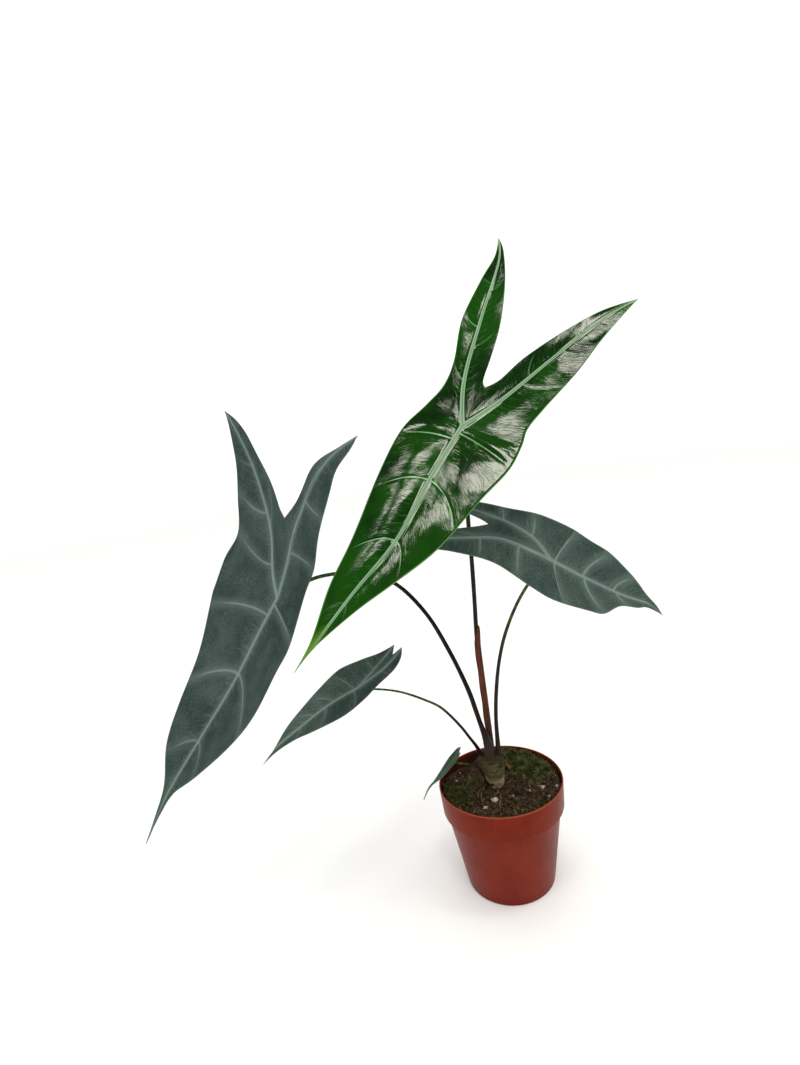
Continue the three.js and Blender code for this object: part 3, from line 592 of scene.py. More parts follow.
# Its rings from the foot up, each as height, x, y and radius
stock_rings = np.array([
    (78, -3, -2, 3.5), (88, -3, -2, 5.5), (97, -3.5, -2, 6), (101, -3.8, -1.8, 6.8),
    (105, -4.2, -1.6, 8.2), (109, -4.5, -1.4, 9.3), (113, -4.9, -1.2, 10.3), (117, -5.3, -1, 10.8),
    (121, -5.8, -0.8, 11.4), (125, -6.2, -0.6, 11.9), (128.5, -6.5, -0.4, 12.2),
    (131.5, -6.6, -0.3, 11.4), (133.5, -6.6, -0.2, 9.4)])
SCAR_HEIGHTS = (104.5, 110, 115.5, 120, 124.5, 129)
SCAR_RISE = 0.3
SCAR_WIDTH = 0.55
HOLLOW_WIDTH = 0.8
HOLLOW_UNDER_SCAR = 1.3
BARK_RISE = 0.5


def scar_relief(z):
    """A raised line at each leaf scar with a hollow under it"""
    relief = 0
    for scar in SCAR_HEIGHTS:
        relief += math.exp(-((z - scar) / SCAR_WIDTH)**2)
        relief -= 0.6 * math.exp(-((z - scar + HOLLOW_UNDER_SCAR) / HOLLOW_WIDTH)**2)
    return SCAR_RISE * relief


def tube(rings):
    """Walls round rows of points, closed with a fan at each end"""
    levels, sides = rings.shape[:2]
    points = [*rings.reshape(-1, 3), rings[0].mean(0), rings[-1].mean(0)]
    faces = []
    for j in range(sides):
        k = (j + 1) % sides
        faces += [[i * sides + j, i * sides + k, (i + 1) * sides + k, (i + 1) * sides + j]
                  for i in range(levels - 1)]
        faces += [[levels * sides, k, j],
                  [levels * sides + 1, (levels - 1) * sides + j, (levels - 1) * sides + k]]
    return points, faces


rows = []
knots = np.arange(len(stock_rings))
for at in np.linspace(0, len(stock_rings) - 1, STOCK_LEVELS):
    z, x, y, radius = (np.interp(at, knots, stock_rings[:, k]) for k in range(4))
    row = []
    for turn in turns_of(STOCK_SIDES):
        knob = 0.5 * math.sin(3 * turn + at) + 0.3 * math.sin(5 * turn - 2 * at)
        tilt = 0.9 * math.sin(turn + 1.1 * at)
        bark = noise.fractal(Vector((*off_axis(3, turn), z / 4)), 0.8, 2.0, 4)
        reach = radius + knob + scar_relief(z + tilt) + BARK_RISE * bark - 0.4
        row.append((x + reach * math.cos(turn), y + reach * math.sin(turn), z))
    rows.append(row)
stem = piece_from("rootstock_stem", *tube(np.array(rows)))
stock_look, tree, shader = new_look("rootstock", Roughness=0.9, Specular_IOR_Level=0.12)
place = own_place(tree)
height = height_of(tree, place)
squat = scaled_up(tree, place, 2.6)
bark = blend_colour(tree, ease(tree, cloudy(tree, squat, 160.0, 5.0, 0.65), 0.35, 0.65),
                    (0.03, 0.022, 0.012, 1), (0.15, 0.122, 0.058, 1))
mossy = ease(tree, cloudy(tree, place, 95.0, 4.0, 0.6), 0.36, 0.6)
mossy = times(tree, mossy, ease(tree, height, 0.1, 0.112, 0.15, 0.85))
mossy = times(tree, mossy, ease(tree, height, 0.124, 0.135, 1.0, 0.35))
bark = blend_colour(tree, mossy, bark, (0.058, 0.06, 0.017, 1))
bark = blend_colour(tree, ease(tree, height, 0.122, 0.132, 0.0, 0.8), bark, (0.03, 0.02, 0.011, 1))
pale_foot = times(tree, ease(tree, height, 0.108, 0.114, 0.85, 0.0), ease(tree, height, 0.098, 0.102))
bark = blend_colour(tree, pale_foot, bark, (0.3, 0.235, 0.135, 1))
join(tree, bark, shader, "Base Color")
join(tree, bump(tree, times(tree, cloudy(tree, squat, 600.0, 4.0, 0.7), 0.6)), shader, "Normal")
stem.data.materials.append(stock_look)
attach(stem, "root")
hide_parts("rootstock")


# BUD
# A pointed pink shoot of soft scales rolled round each other. It grows out of
# the moss behind the rootstock and leans to the left.
BUD_FOOT = np.array((16, 19.5, 96))
BUD_RISE = np.array((-5.6, -0.4, 12))
BUD_RADIUS = 1.8
BUD_SIDES = 28
BUD_LEVELS = 40
bud_rows = []
for up in np.linspace(0, 1, BUD_LEVELS):
    width = np.interp(up, (0, 0.25, 0.5, 0.75, 0.9, 1), (0.6, 0.85, 1, 0.85, 0.5, 0.1))
    row = []
    for turn in turns_of(BUD_SIDES):
        from_fold = math.remainder(turn - 2 - 2.5 * up, 2 * math.pi)
        reach = BUD_RADIUS * width * (0.95 + 0.12 * math.exp(-(from_fold / 0.18)**2))
        row.append(BUD_FOOT + BUD_RISE * up + (*off_axis(reach, turn), 0))
    bud_rows.append(row)
shoot = piece_from("pink_bud", *tube(np.array(bud_rows)))
bud_look, tree, shader = new_look("bud", Roughness=0.5)
place = own_place(tree)
fine_lines = cloudy(tree, scaled_up(tree, place, 0.1), 1400.0, 2.0)
skin_tone = blend_colour(tree, ease(tree, height_of(tree, place), 0.1, 0.107),
                         (0.2, 0.09, 0.06, 1), (0.3, 0.07, 0.05, 1))
skin_tone = blend_colour(tree, ease(tree, fine_lines, 0.4, 0.7, 0.0, 0.4),
                         skin_tone, (0.16, 0.05, 0.035, 1))
join(tree, skin_tone, shader, "Base Color")
join(tree, bump(tree, fine_lines, 0.2), shader, "Normal")
shoot.data.materials.append(bud_look)
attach(shoot, "root")
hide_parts("bud")


# STALKS
# Five smooth round leaf stalks, near black with brown mottling and greener
# towards the blades. Each clasps the rootstock and flares under its blade.
STALK_SIDES = 22
STALK_STEP = 2.6
JOINT_GAP = 0.6
TOP_FLARE = 0.22
TOP_FLARE_LENGTH = 3.5
FOOT_STARTS = 0.02
FOOT_ENDS = 0.13
# Each stalk's radius at its base and top, what its clasping foot adds, and its way
stalks = {
    "tall": {"base": 2.4, "foot": 0, "top": 1.8, "route": [
        (-4.6, 3.8, 127), (-4.8, 3.4, 160), (-5.2, 2, 198), (-5.5, 0, 249), (-3.5, -2, 289),
        (-2, -5, 325), (-1.5, -11, 361), (-1, -22, 401), (-1.2, -40, 434)]},
    "left": {"base": 2.7, "foot": 2.2, "top": 1.6, "route": [
        (-7.4, -5.8, 127), (-7.8, -5.6, 142), (-9.4, -5, 153), (-12.4, -2, 166), (-15.2, 1.5, 180),
        (-18.8, 5, 197), (-31.7, 14, 236), (-49.5, 20, 276), (-74, 22, 308), (-100, 16, 324),
        (-127, 5, 330), (-149, -5, 330), (-168, -13, 323)]},
    "right": {"base": 2.3, "foot": 0.5, "top": 1.3, "greening": 1.2, "route": [
        (1.2, -4, 127), (1.4, -5, 144), (2.6, -8, 176), (6, -10, 204), (11, -13, 231), (18, -16, 255),
        (30, -20, 282), (42, -25, 302), (54, -32, 317)]},
    "low": {"base": 1.8, "foot": 0.8, "top": 0.8, "greening": 1.7, "route": [
        (-13.5, 0, 127), (-18.6, -3, 143), (-25, -8, 157), (-31.8, -12, 171), (-48.4, -20, 197),
        (-62, -27, 210), (-82.5, -38, 226), (-102, -50, 237), (-111, -55, 240)]},
    "small": {"base": 1.1, "foot": 0, "top": 0.7, "route": [
        (-5, -5, 104), (-10.8, -10, 105.6), (-14.4, -12, 111.5), (-17.6, -14, 121), (-20.8, -16, 129.5),
        (-28, -21, 136.5), (-35, -25.5, 141.5)]},
}
# Where each stalk meets its blade: the joint, the way the blade faces, and
# how thick its midrib is there
joints = {
    "tall": ((-2, -55, 447.5), (-0.1, -0.83, 0.55), 2.6),
    "left": ((-178, -20, 321.5), (-0.61, -0.64, 0.467), 2.4),
    "right": ((61, -40, 325.5), (0.32, -0.8, 0.507), 1.8),
    "low": ((-116, -60, 245), (0, -0.439, 0.898), 1.4),
    "small": ((-45.2, -31, 148.4), (-0.798, -0.238, 0.554), 1.1),
}


def smooth_route(points, samples=60):
    """An even curve through points, whose pull falls with the root of their distance"""
    points = [np.asarray(p, float) for p in points]
    points = [2 * points[0] - points[1], *points, 2 * points[-1] - points[-2]]
    line = [points[1]]
    for p0, p1, p2, p3 in zip(points, points[1:], points[2:], points[3:]):
        d0, d1, d2 = (max(np.linalg.norm(b - a), 1e-6)**0.5 for a, b in ((p0, p1), (p1, p2), (p2, p3)))
        v1 = ((p1 - p0) / d0 - (p2 - p0) / (d0 + d1) + (p2 - p1) / d1) * d1
        v2 = ((p2 - p1) / d1 - (p3 - p1) / (d1 + d2) + (p3 - p2) / d2) * d1
        square, cube = 3 * (p2 - p1) - 2 * v1 - v2, 2 * (p1 - p2) + v1 + v2
        for t in np.linspace(0, 1, samples)[1:]:
            line.append(p1 + v1 * t + square * t * t + cube * t**3)
    return np.array(line)


def stalk_line(name):
    """The stalk's middle line, the share of its length at each point, and the length"""
    joint, facing, rib_depth = joints[name]
    ends = [np.asarray(joint, float) - unit(facing) * (rib_depth + JOINT_GAP + below)
            for below in (3 * stalks[name]["top"], 0)]
    line = smooth_route([*stalks[name]["route"], *ends])
    lengths = np.concatenate([[0], np.cumsum(np.linalg.norm(np.diff(line, axis=0), axis=1))])
    return line, lengths / lengths[-1], lengths[-1]


def ease_in(value, low, high):
    """Goes smoothly from nothing to one while value goes from low to high"""
    share = np.clip((value - low) / (high - low), 0, 1)
    return share * share * (3 - 2 * share)


def stalk_radius(name, share):
    stalk = stalks[name]
    foot = stalk["foot"] * (1 - ease_in(share, FOOT_STARTS, FOOT_ENDS))
    return stalk["base"] + (stalk["top"] - stalk["base"]) * share**0.6 + foot


stalk_look, tree, shader = new_look("stalk", Roughness=0.36, Specular_IOR_Level=0.14)
place = own_place(tree)
place_up = stored(tree, "up_stalk")["Fac"]
skin_tone = blend_colour(tree, ease(tree, cloudy(tree, place, 210.0, 4.0, 0.6), 0.4, 0.62),
                         (0.0065, 0.004, 0.0035, 1), (0.02, 0.011, 0.008, 1))
green_tone = blend_colour(tree, ease(tree, cloudy(tree, place, 260.0, 4.0, 0.65), 0.42, 0.6),
                          (0.014, 0.028, 0.007, 1), (0.06, 0.115, 0.025, 1))
skin_tone = blend_colour(tree, ease(tree, place_up, 0.58, 0.92, 0.0, 0.95), skin_tone, green_tone)
skin_tone = blend_colour(tree, ease(tree, place_up, 0.04, 0.14, 0.75, 0.0),
                         skin_tone, (0.03, 0.018, 0.009, 1))
join(tree, skin_tone, shader, "Base Color")
join(tree, maths(tree, "MULTIPLY_ADD", cloudy(tree, place, 500.0, 2.0), 0.25, 0.25), shader, "Roughness")
join(tree, bump(tree, cloudy(tree, place, 380.0, 3.0), 0.12), shader, "Normal")

for stalk_name in stalks:
    line, share_at, length = stalk_line(stalk_name)
    shares = np.linspace(0, 1, max(24, int(length / STALK_STEP)))
    centres = np.stack([np.interp(shares, share_at, line[:, k]) for k in range(3)], -1)
    blade_joint, facing, rib_depth = joints[stalk_name]
    centres = np.vstack([centres, np.asarray(blade_joint, float) - unit(facing) * rib_depth * 0.6])
    shares = np.append(shares, 1.0)
    ahead = np.gradient(centres, axis=0)
    ahead /= np.linalg.norm(ahead, axis=1)[:, None]
    aside = unit(np.cross(ahead[0], (0, 1, 0.01)))
    rows = []
    for i, (centre, share) in enumerate(zip(centres, shares)):
        aside = unit(aside - ahead[i] * (aside @ ahead[i]))
        other = np.cross(ahead[i], aside)
        from_base, from_top = share * length, (1 - share) * length
        flare = 1 + TOP_FLARE * math.exp(-from_top / TOP_FLARE_LENGTH)
        radius = stalk_radius(stalk_name, share) * flare
        ring = []
        for turn in turns_of(STALK_SIDES):
            uneven = 0.025 * math.sin(3 * turn + share * 9) + 0.02 * math.sin(from_base / 9 + 2 * turn)
            outward = math.cos(turn) * aside + math.sin(turn) * other
            ring.append(centre + radius * (1 + uneven) * outward)
        rows.append(ring)
    leaf_stalk = piece_from(f"leaf_stalk_{stalk_name}", *tube(np.array(rows)))
    greened = np.minimum(1, shares * stalks[stalk_name].get("greening", 1))
    mark(leaf_stalk, "up_stalk", [*np.repeat(greened, STALK_SIDES), 0.0, 1.0])
    leaf_stalk.data.materials.append(stalk_look)
    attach(leaf_stalk, "root")
    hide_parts(f"stalk_{stalk_name}")


# SHEATH
# The papery red-brown scale leaf that still hugs the tallest stalk on its
# front, open down its back and drawn out to a free point.
SHEATH_BOTTOM = 132
SHEATH_TOP = 264
SHEATH_THICKNESS = 0.7
SHEATH_FACING = -0.95
SHEATH_WRAP = 1.95
SHEATH_POINT_WRAP = 0.12
SHEATH_GAP = 0.4
SHEATH_POINT_GAP = 0.6
SHEATH_FREE_FROM = 0.85
SHEATH_CORNERS = 16
SHEATH_LEVELS = 90
line, share_at, length = stalk_line("tall")
rows = []
for up in np.linspace(0, 1, SHEATH_LEVELS):
    z = SHEATH_BOTTOM + (SHEATH_TOP - SHEATH_BOTTOM) * up
    share = np.interp(z, line[:, 2], share_at)
    centre = [np.interp(share, share_at, line[:, k]) for k in range(2)]
    free = min(1, max(0, (up - SHEATH_FREE_FROM) / (1 - SHEATH_FREE_FROM)))
    hugged = stalk_radius("tall", share) + SHEATH_GAP + SHEATH_POINT_GAP * free
    wrap = SHEATH_WRAP * (1 - free)**0.8 + SHEATH_POINT_WRAP
    rings = []
    for reach in (hugged + SHEATH_THICKNESS, hugged):
        side = []
        for j in range(SHEATH_CORNERS + 1):
            across = 2 * j / SHEATH_CORNERS - 1
            turn = SHEATH_FACING + wrap * across
            curl = 0.2 * abs(across)**3 * math.sin(z / 5 + across) * (1 - free)
            pleat = 0.08 * math.cos(9 * across)
            x, y = off_axis(reach + curl + pleat, turn)
            side.append((centre[0] + x, centre[1] + y, z))
        rings.append(side)
    rows.append([*rings[0], *reversed(rings[1])])

# Its two end caps follow its curl, in place of the fans of a round tube
points, faces = tube(np.array(rows))
ring_size = 2 * SHEATH_CORNERS + 2
faces = [face for face in faces if max(face) < SHEATH_LEVELS * ring_size]
points = points[:-2]
top_ring = (SHEATH_LEVELS - 1) * ring_size
for j in range(SHEATH_CORNERS):
    faces.append([j, ring_size - 1 - j, ring_size - 2 - j, j + 1])
    faces.append([top_ring + k for k in (j, j + 1, ring_size - 2 - j, ring_size - 1 - j)])
papery_sheath = piece_from("papery_sheath", points, faces)
sheath_look, tree, shader = new_look("sheath", Roughness=0.6, Specular_IOR_Level=0.12)
place = own_place(tree)
ribbed = cloudy(tree, scaled_up(tree, place, 0.05), 1500.0, 3.0, 0.6)
paper = blend_colour(tree, ease(tree, ribbed, 0.35, 0.65),
                     (0.045, 0.014, 0.007, 1), (0.14, 0.04, 0.021, 1))
paper = blend_colour(tree, ease(tree, height_of(tree, place), 0.14, 0.19, 0.75, 0.0),
                     paper, (0.034, 0.019, 0.011, 1))
join(tree, paper, shader, "Base Color")
join(tree, bump(tree, ribbed, 0.3), shader, "Normal")
papery_sheath.data.materials.append(sheath_look)
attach(papery_sheath, "root")
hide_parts("sheath")


# BLADES
# Five arrow-shaped leaves. Each is a thin sheet with a thick midrib and a
# costa in each rear lobe, raised under it, and curved veins between bulges.
MID_LEAN = 0.7
LOBE_LEAN = 0.9
VEIN_SWEEP = 0.8
SWEEP_FROM = 0.05
BLADE_THICKNESS = 0.7
VEIN_RISE = 0.45
VEIN_SINK = 0.3
CRINKLE = 0.06
FULL_RELIEF_WIDTH = 30
RIB_TAPER = 0.55
RIB_TIP_DEPTH = 0.8
COLUMN_STEP = 1.7
BESIDE_VEIN = 0.85
ROWS_ON_RIB = (0, 0.2, 0.42, 0.62, 0.8, 1.0, 1.35)
ROWS_BEYOND = 24
FAR_FROM_VEIN = 40
WELDS_PER_MM = 500
# The three panels of a half, by the phase of the waves in each
TO_TIP, LOBE_OUTSIDE, LOBE_INSIDE = 1, 4, 2

# Each leaf laid flat, in millimetres along and across its midrib from the joint:
# ribs, the edge from the leaf's tip to the lobe's with the number of the point at
# its waist, the lobe's inner edge, and where along its rib each vein starts
leaves = {
    "tall": {
        "toward": (-0.626, -0.375, -0.684),
        "bend_tip": -0.0004, "bend_lobes": 0.0008, "fold": 0.03, "roll": -0.0003,
        "rib_width": 2.6, "dome": 1, "wave": 1, "slot": "glossy_leaf",
        "midrib": [(0, 0), (52, 1), (108, 5), (164, -1), (227, -4)],
        "left": {
            "costa": [(0, 0), (-39, -20), (-102, -39), (-175, -60), (-207, -77)],
            "edge": [(227, -4), (203, -7), (165, -18), (125, -25), (68, -37), (25, -42), (-5, -36),
                     (-28, -33), (-54, -38), (-96, -54), (-146, -63), (-180, -67), (-207, -77)],
            "waist": 6, "pillow": 2.2,
            "inner": [(-40, -1), (-46, -6), (-71, -12), (-109, -23), (-155, -43), (-192, -64),
                      (-207, -77)],
            "mid_veins": [0.06, 0.235, 0.48, 0.74],
            "outer_veins": [0.2, 0.46, 0.7],
            "inner_veins": [0.36, 0.66],
        },
        "right": {
            "costa": [(0, 0), (-34, 16), (-87, 33), (-145, 51), (-184, 68)],
            "edge": [(227, -4), (205, -2), (172, 8), (137, 22), (98, 36), (52, 44), (19, 51), (-4, 50),
                     (-20, 47), (-43, 50), (-82, 57), (-123, 60), (-155, 64), (-184, 68)],
            "waist": 7, "pillow": 0.7,
            "inner": [(-40, -1), (-52, 6), (-81, 13), (-116, 28), (-155, 46), (-184, 68)],
            "mid_veins": [0.03, 0.235, 0.48, 0.74],
            "outer_veins": [0.31, 0.55, 0.78],
            "inner_veins": [0.36, 0.66],
        },
    },
    "left": {
        "toward": (-0.48, -0.17, -0.86),
        "bend_tip": -0.0015, "bend_lobes": -0.0028, "fold": 0.22, "roll": 0.0008,
        "rib_width": 1.9, "dome": 0.8, "wave": 0.8, "slot": "matt_leaf",
        "midrib": [(0, 0), (36, -6), (87, -9), (140, -13), (190, -11), (228, 2)],
        "left": {
            "costa": [(0, 0), (-20, -20), (-53, -39), (-99, -76), (-138, -111), (-155, -128)],
            "edge": [(228, 2), (208, -9), (188, -20), (160, -42), (124, -54), (77, -60), (30, -71),
                     (-10, -78), (-40, -76), (-71, -89), (-108, -106), (-137, -119), (-155, -128)],
            "waist": 7,
            "inner": [(-69, -19), (-75, -25), (-97, -48), (-131, -86), (-147, -108), (-155, -128)],
            "mid_veins": [0.08, 0.33, 0.62],
            "outer_veins": [0.17, 0.42, 0.68],
            "inner_veins": [0.36, 0.66],
        },
        "right": {
            "costa": [(0, 0), (-30, -2), (-66, -3), (-105, 10), (-132, 33), (-155, 71)],
            "edge": [(228, 2), (205, -4), (186, -3), (162, 16), (120, 41), (88, 54), (50, 57), (28, 60),
                     (2, 53), (-20, 50), (-43, 54), (-73, 46), (-105, 44), (-124, 47), (-143, 63),
                     (-155, 71)],
            "waist": 8,
            "inner": [(-69, -19), (-85, -9), (-113, 4), (-129, 20), (-143, 46), (-155, 71)],
            "mid_veins": [0.03, 0.33, 0.62],
            "outer_veins": [0.22, 0.48, 0.72],
            "inner_veins": [0.4, 0.68],
        },
    },
    "right": {
        "toward": (0.842, -0.006, -0.54),
        "bend_tip": 0.0002, "bend_lobes": 0.0006, "fold": 0.15, "roll": 0,
        "rib_width": 1.7, "dome": 0.8, "wave": 0.5, "slot": "matt_leaf",
        "midrib": [(0, 0), (31, -2), (69, -2), (95, 1), (110, -3)],
        "left": {
            "costa": [(0, 0), (-30, 0), (-52, -3), (-76, -14), (-108, -31), (-126, -44)],
            "edge": [(110, -3), (95, -3), (85, -8), (69, -14), (55, -28), (41, -32), (9, -37), (-14, -34),
                     (-49, -27), (-81, -31), (-105, -38), (-126, -44)],
            "waist": 6,
            "inner": [(-61, 7), (-69, 1), (-87, -10), (-107, -23), (-126, -44)],
            "mid_veins": [0.03, 0.3, 0.58],
            "outer_veins": [0.22, 0.48, 0.74],
            "inner_veins": [0.5, 0.75],
        },
        "right": {
            "costa": [(0, 0), (-20, 13), (-48, 17), (-74, 15), (-104, 13)],
            "edge": [(110, -3), (103, 3), (91, 9), (74, 19), (51, 29), (29, 32), (5, 36), (-21, 36),
                     (-47, 30), (-74, 24), (-104, 13)],
            "waist": 6,
            "inner": [(-61, 7), (-70, 9), (-88, 9), (-104, 13)],
            "mid_veins": [0.03, 0.28, 0.55],
            "outer_veins": [0.24, 0.5, 0.75],
            "inner_veins": [0.55, 0.78],
        },
    },
    "low": {
        "toward": (-0.824, -0.509, -0.247),
        "bend_tip": 0.0008, "bend_lobes": 0.0005, "fold": 0.28, "roll": 0,
        "rib_width": 1.2, "dome": 0.5, "wave": 0.3, "slot": "matt_leaf", "veins_shown": 0.45,
        "midrib": [(0, 0), (27, -3), (56, -2), (81, 0), (95, 5)],
        "left": {
            "costa": [(0, 0), (-21, -6), (-40, -12), (-53, -17)],
            "edge": [(95, 5), (85, 1), (67, -8), (49, -14), (25, -20), (2, -23.5), (-20, -20.5),
                     (-37, -17.5), (-53, -17)],
            "waist": 5,
            "inner": [(-44, -8), (-48, -12), (-53, -17)],
            "mid_veins": [0.03, 0.24, 0.45],
            "outer_veins": [0.42],
            "inner_veins": [0.7],
        },
        "right": {
            "costa": [(0, 0), (-27, -1), (-44, -5), (-56, -10)],
            "edge": [(95, 5), (82, 3.6), (66, 6), (51, 11.5), (27, 18.5), (6, 16.5), (-11, 12),
                     (-33, 7.5), (-47, 0), (-56, -10)],
            "waist": 5,
            "inner": [(-44, -8), (-50, -9), (-56, -10)],
            "mid_veins": [0.05, 0.34, 0.6],
            "outer_veins": [0.45],
            "inner_veins": [0.7],
        },
    },
    "small": {
        "toward": (-0.597, 0.184, -0.781),
        "bend_tip": 0, "bend_lobes": 0, "fold": 0.5, "roll": 0,
        "rib_width": 0.7, "dome": 0.2, "wave": 0.1, "slot": "matt_leaf", "veins_shown": 0.6,
        "midrib": [(0, 0), (21, -1.4), (40, -4.4), (52.5, -0.5)],
        "left": {
            "costa": [(0, 0), (-8, -1.8), (-16, -3.2)],
            "edge": [(52.5, -0.5), (46, -4), (40, -5.6), (33, -5), (25, -4.7), (16, -5), (6, -5.4),
                     (-5, -5.6), (-12, -5.2), (-16, -3.2)],
            "waist": 7,
            "inner": [(-11.5, 0), (-14.4, -1), (-16, -3.2)],
            "mid_veins": [0.3, 0.6],
            "outer_veins": [0.5],
            "inner_veins": [0.7],
        },
        "right": {
            "costa": [(0, 0), (-7, 1.2), (-13.4, 1.4)],
            "edge": [(52.5, -0.5), (46, -2.4), (40, -3.2), (33, -2.4), (25, 0.6), (16, 3.3), (6, 5),
                     (-4, 5), (-10.5, 3.6), (-13.4, 1.4)],
            "waist": 7,
            "inner": [(-11.5, 0), (-12.8, 0.5), (-13.4, 1.4)],
            "mid_veins": [0.3, 0.6],
            "outer_veins": [0.5],
            "inner_veins": [0.7],
        },
    },
}
for leaf_name, leaf in leaves.items():
    leaf["joint"], leaf["facing"], leaf["rib_depth"] = joints[leaf_name]


def stretch(points, start, end):
    """Part of a smooth line through points, as a function of the share of its length"""
    points = np.asarray(points, float)
    last = len(points) - 1
    at = np.linspace(start, end, 321)
    low = np.minimum(at.astype(int), last)
    w = (at - low)[:, None]
    p0, p1 = points[np.maximum(low - 1, 0)], points[low]
    p2, p3 = points[np.minimum(low + 1, last)], points[np.minimum(low + 2, last)]
    v0, v1 = (p2 - p0) / 2, (p3 - p1) / 2
    walk = (2 * p1 - 2 * p2 + v0 + v1) * w**3 + (-3 * p1 + 3 * p2 - 2 * v0 - v1) * w**2 + v0 * w + p1
    lengths = np.concatenate([[0], np.cumsum(np.linalg.norm(np.diff(walk, axis=0), axis=1))])

    def place(share):
        target = np.asarray(share) * lengths[-1]
        return np.stack([np.interp(target, lengths, walk[:, k]) for k in range(2)], -1)

    place.length = lengths[-1]
    return place


def whole(points):
    return stretch(points, 0, len(points) - 1)


def distance_to_ribs(ribs, flat):
    nearest = np.full(flat.shape[:-1], np.inf)
    for rib in ribs:
        line = rib(np.linspace(0, 1, 33))
        for a, b in zip(line, line[1:]):
            run = b - a
            t = np.clip(((flat - a) @ run) / (run @ run), 0, 1)[..., None]
            nearest = np.minimum(nearest, np.linalg.norm(flat - a - t * run, axis=-1))
    return nearest


def bent(leaf, u, v, lift):
    """From the flat layout to its place in the plant, lift over the bent sheet"""
    forward = unit(leaf["toward"])
    across = unit(np.cross(leaf["facing"], forward))
    normal = np.cross(forward, across)
    bend = np.where(u >= 0, leaf["bend_tip"], leaf["bend_lobes"])
    safe = np.where(bend == 0, 1, bend)
    away = np.sign(u)
    angle = bend * np.abs(u)
    along = np.where(bend == 0, u, np.sin(angle) / safe * away)
    drop = np.where(bend == 0, 0, (1 - np.cos(angle)) / safe)
    return (np.asarray(leaf["joint"], float)
            + (along + lift * np.sin(angle) * away)[..., None] * forward
            + v[..., None] * across
            + (lift * np.cos(angle) - drop)[..., None] * normal)


def columns_for(length, veins):
    """Shares of a rib where the sheet has a column, closer together beside the veins"""
    wanted = set(np.linspace(0, 1, max(8, int(length / COLUMN_STEP))))
    close = [vein + step * BESIDE_VEIN / length for vein in veins for step in (-2, -1, 0, 1, 2)]
    held = sorted(share for share in close if 0 < share < 1)
    plain = [share for share in wanted
             if share in (0, 1) or all(abs(share - near) * length > 0.8 for near in held)]
    return np.array(sorted(set(plain + held)))


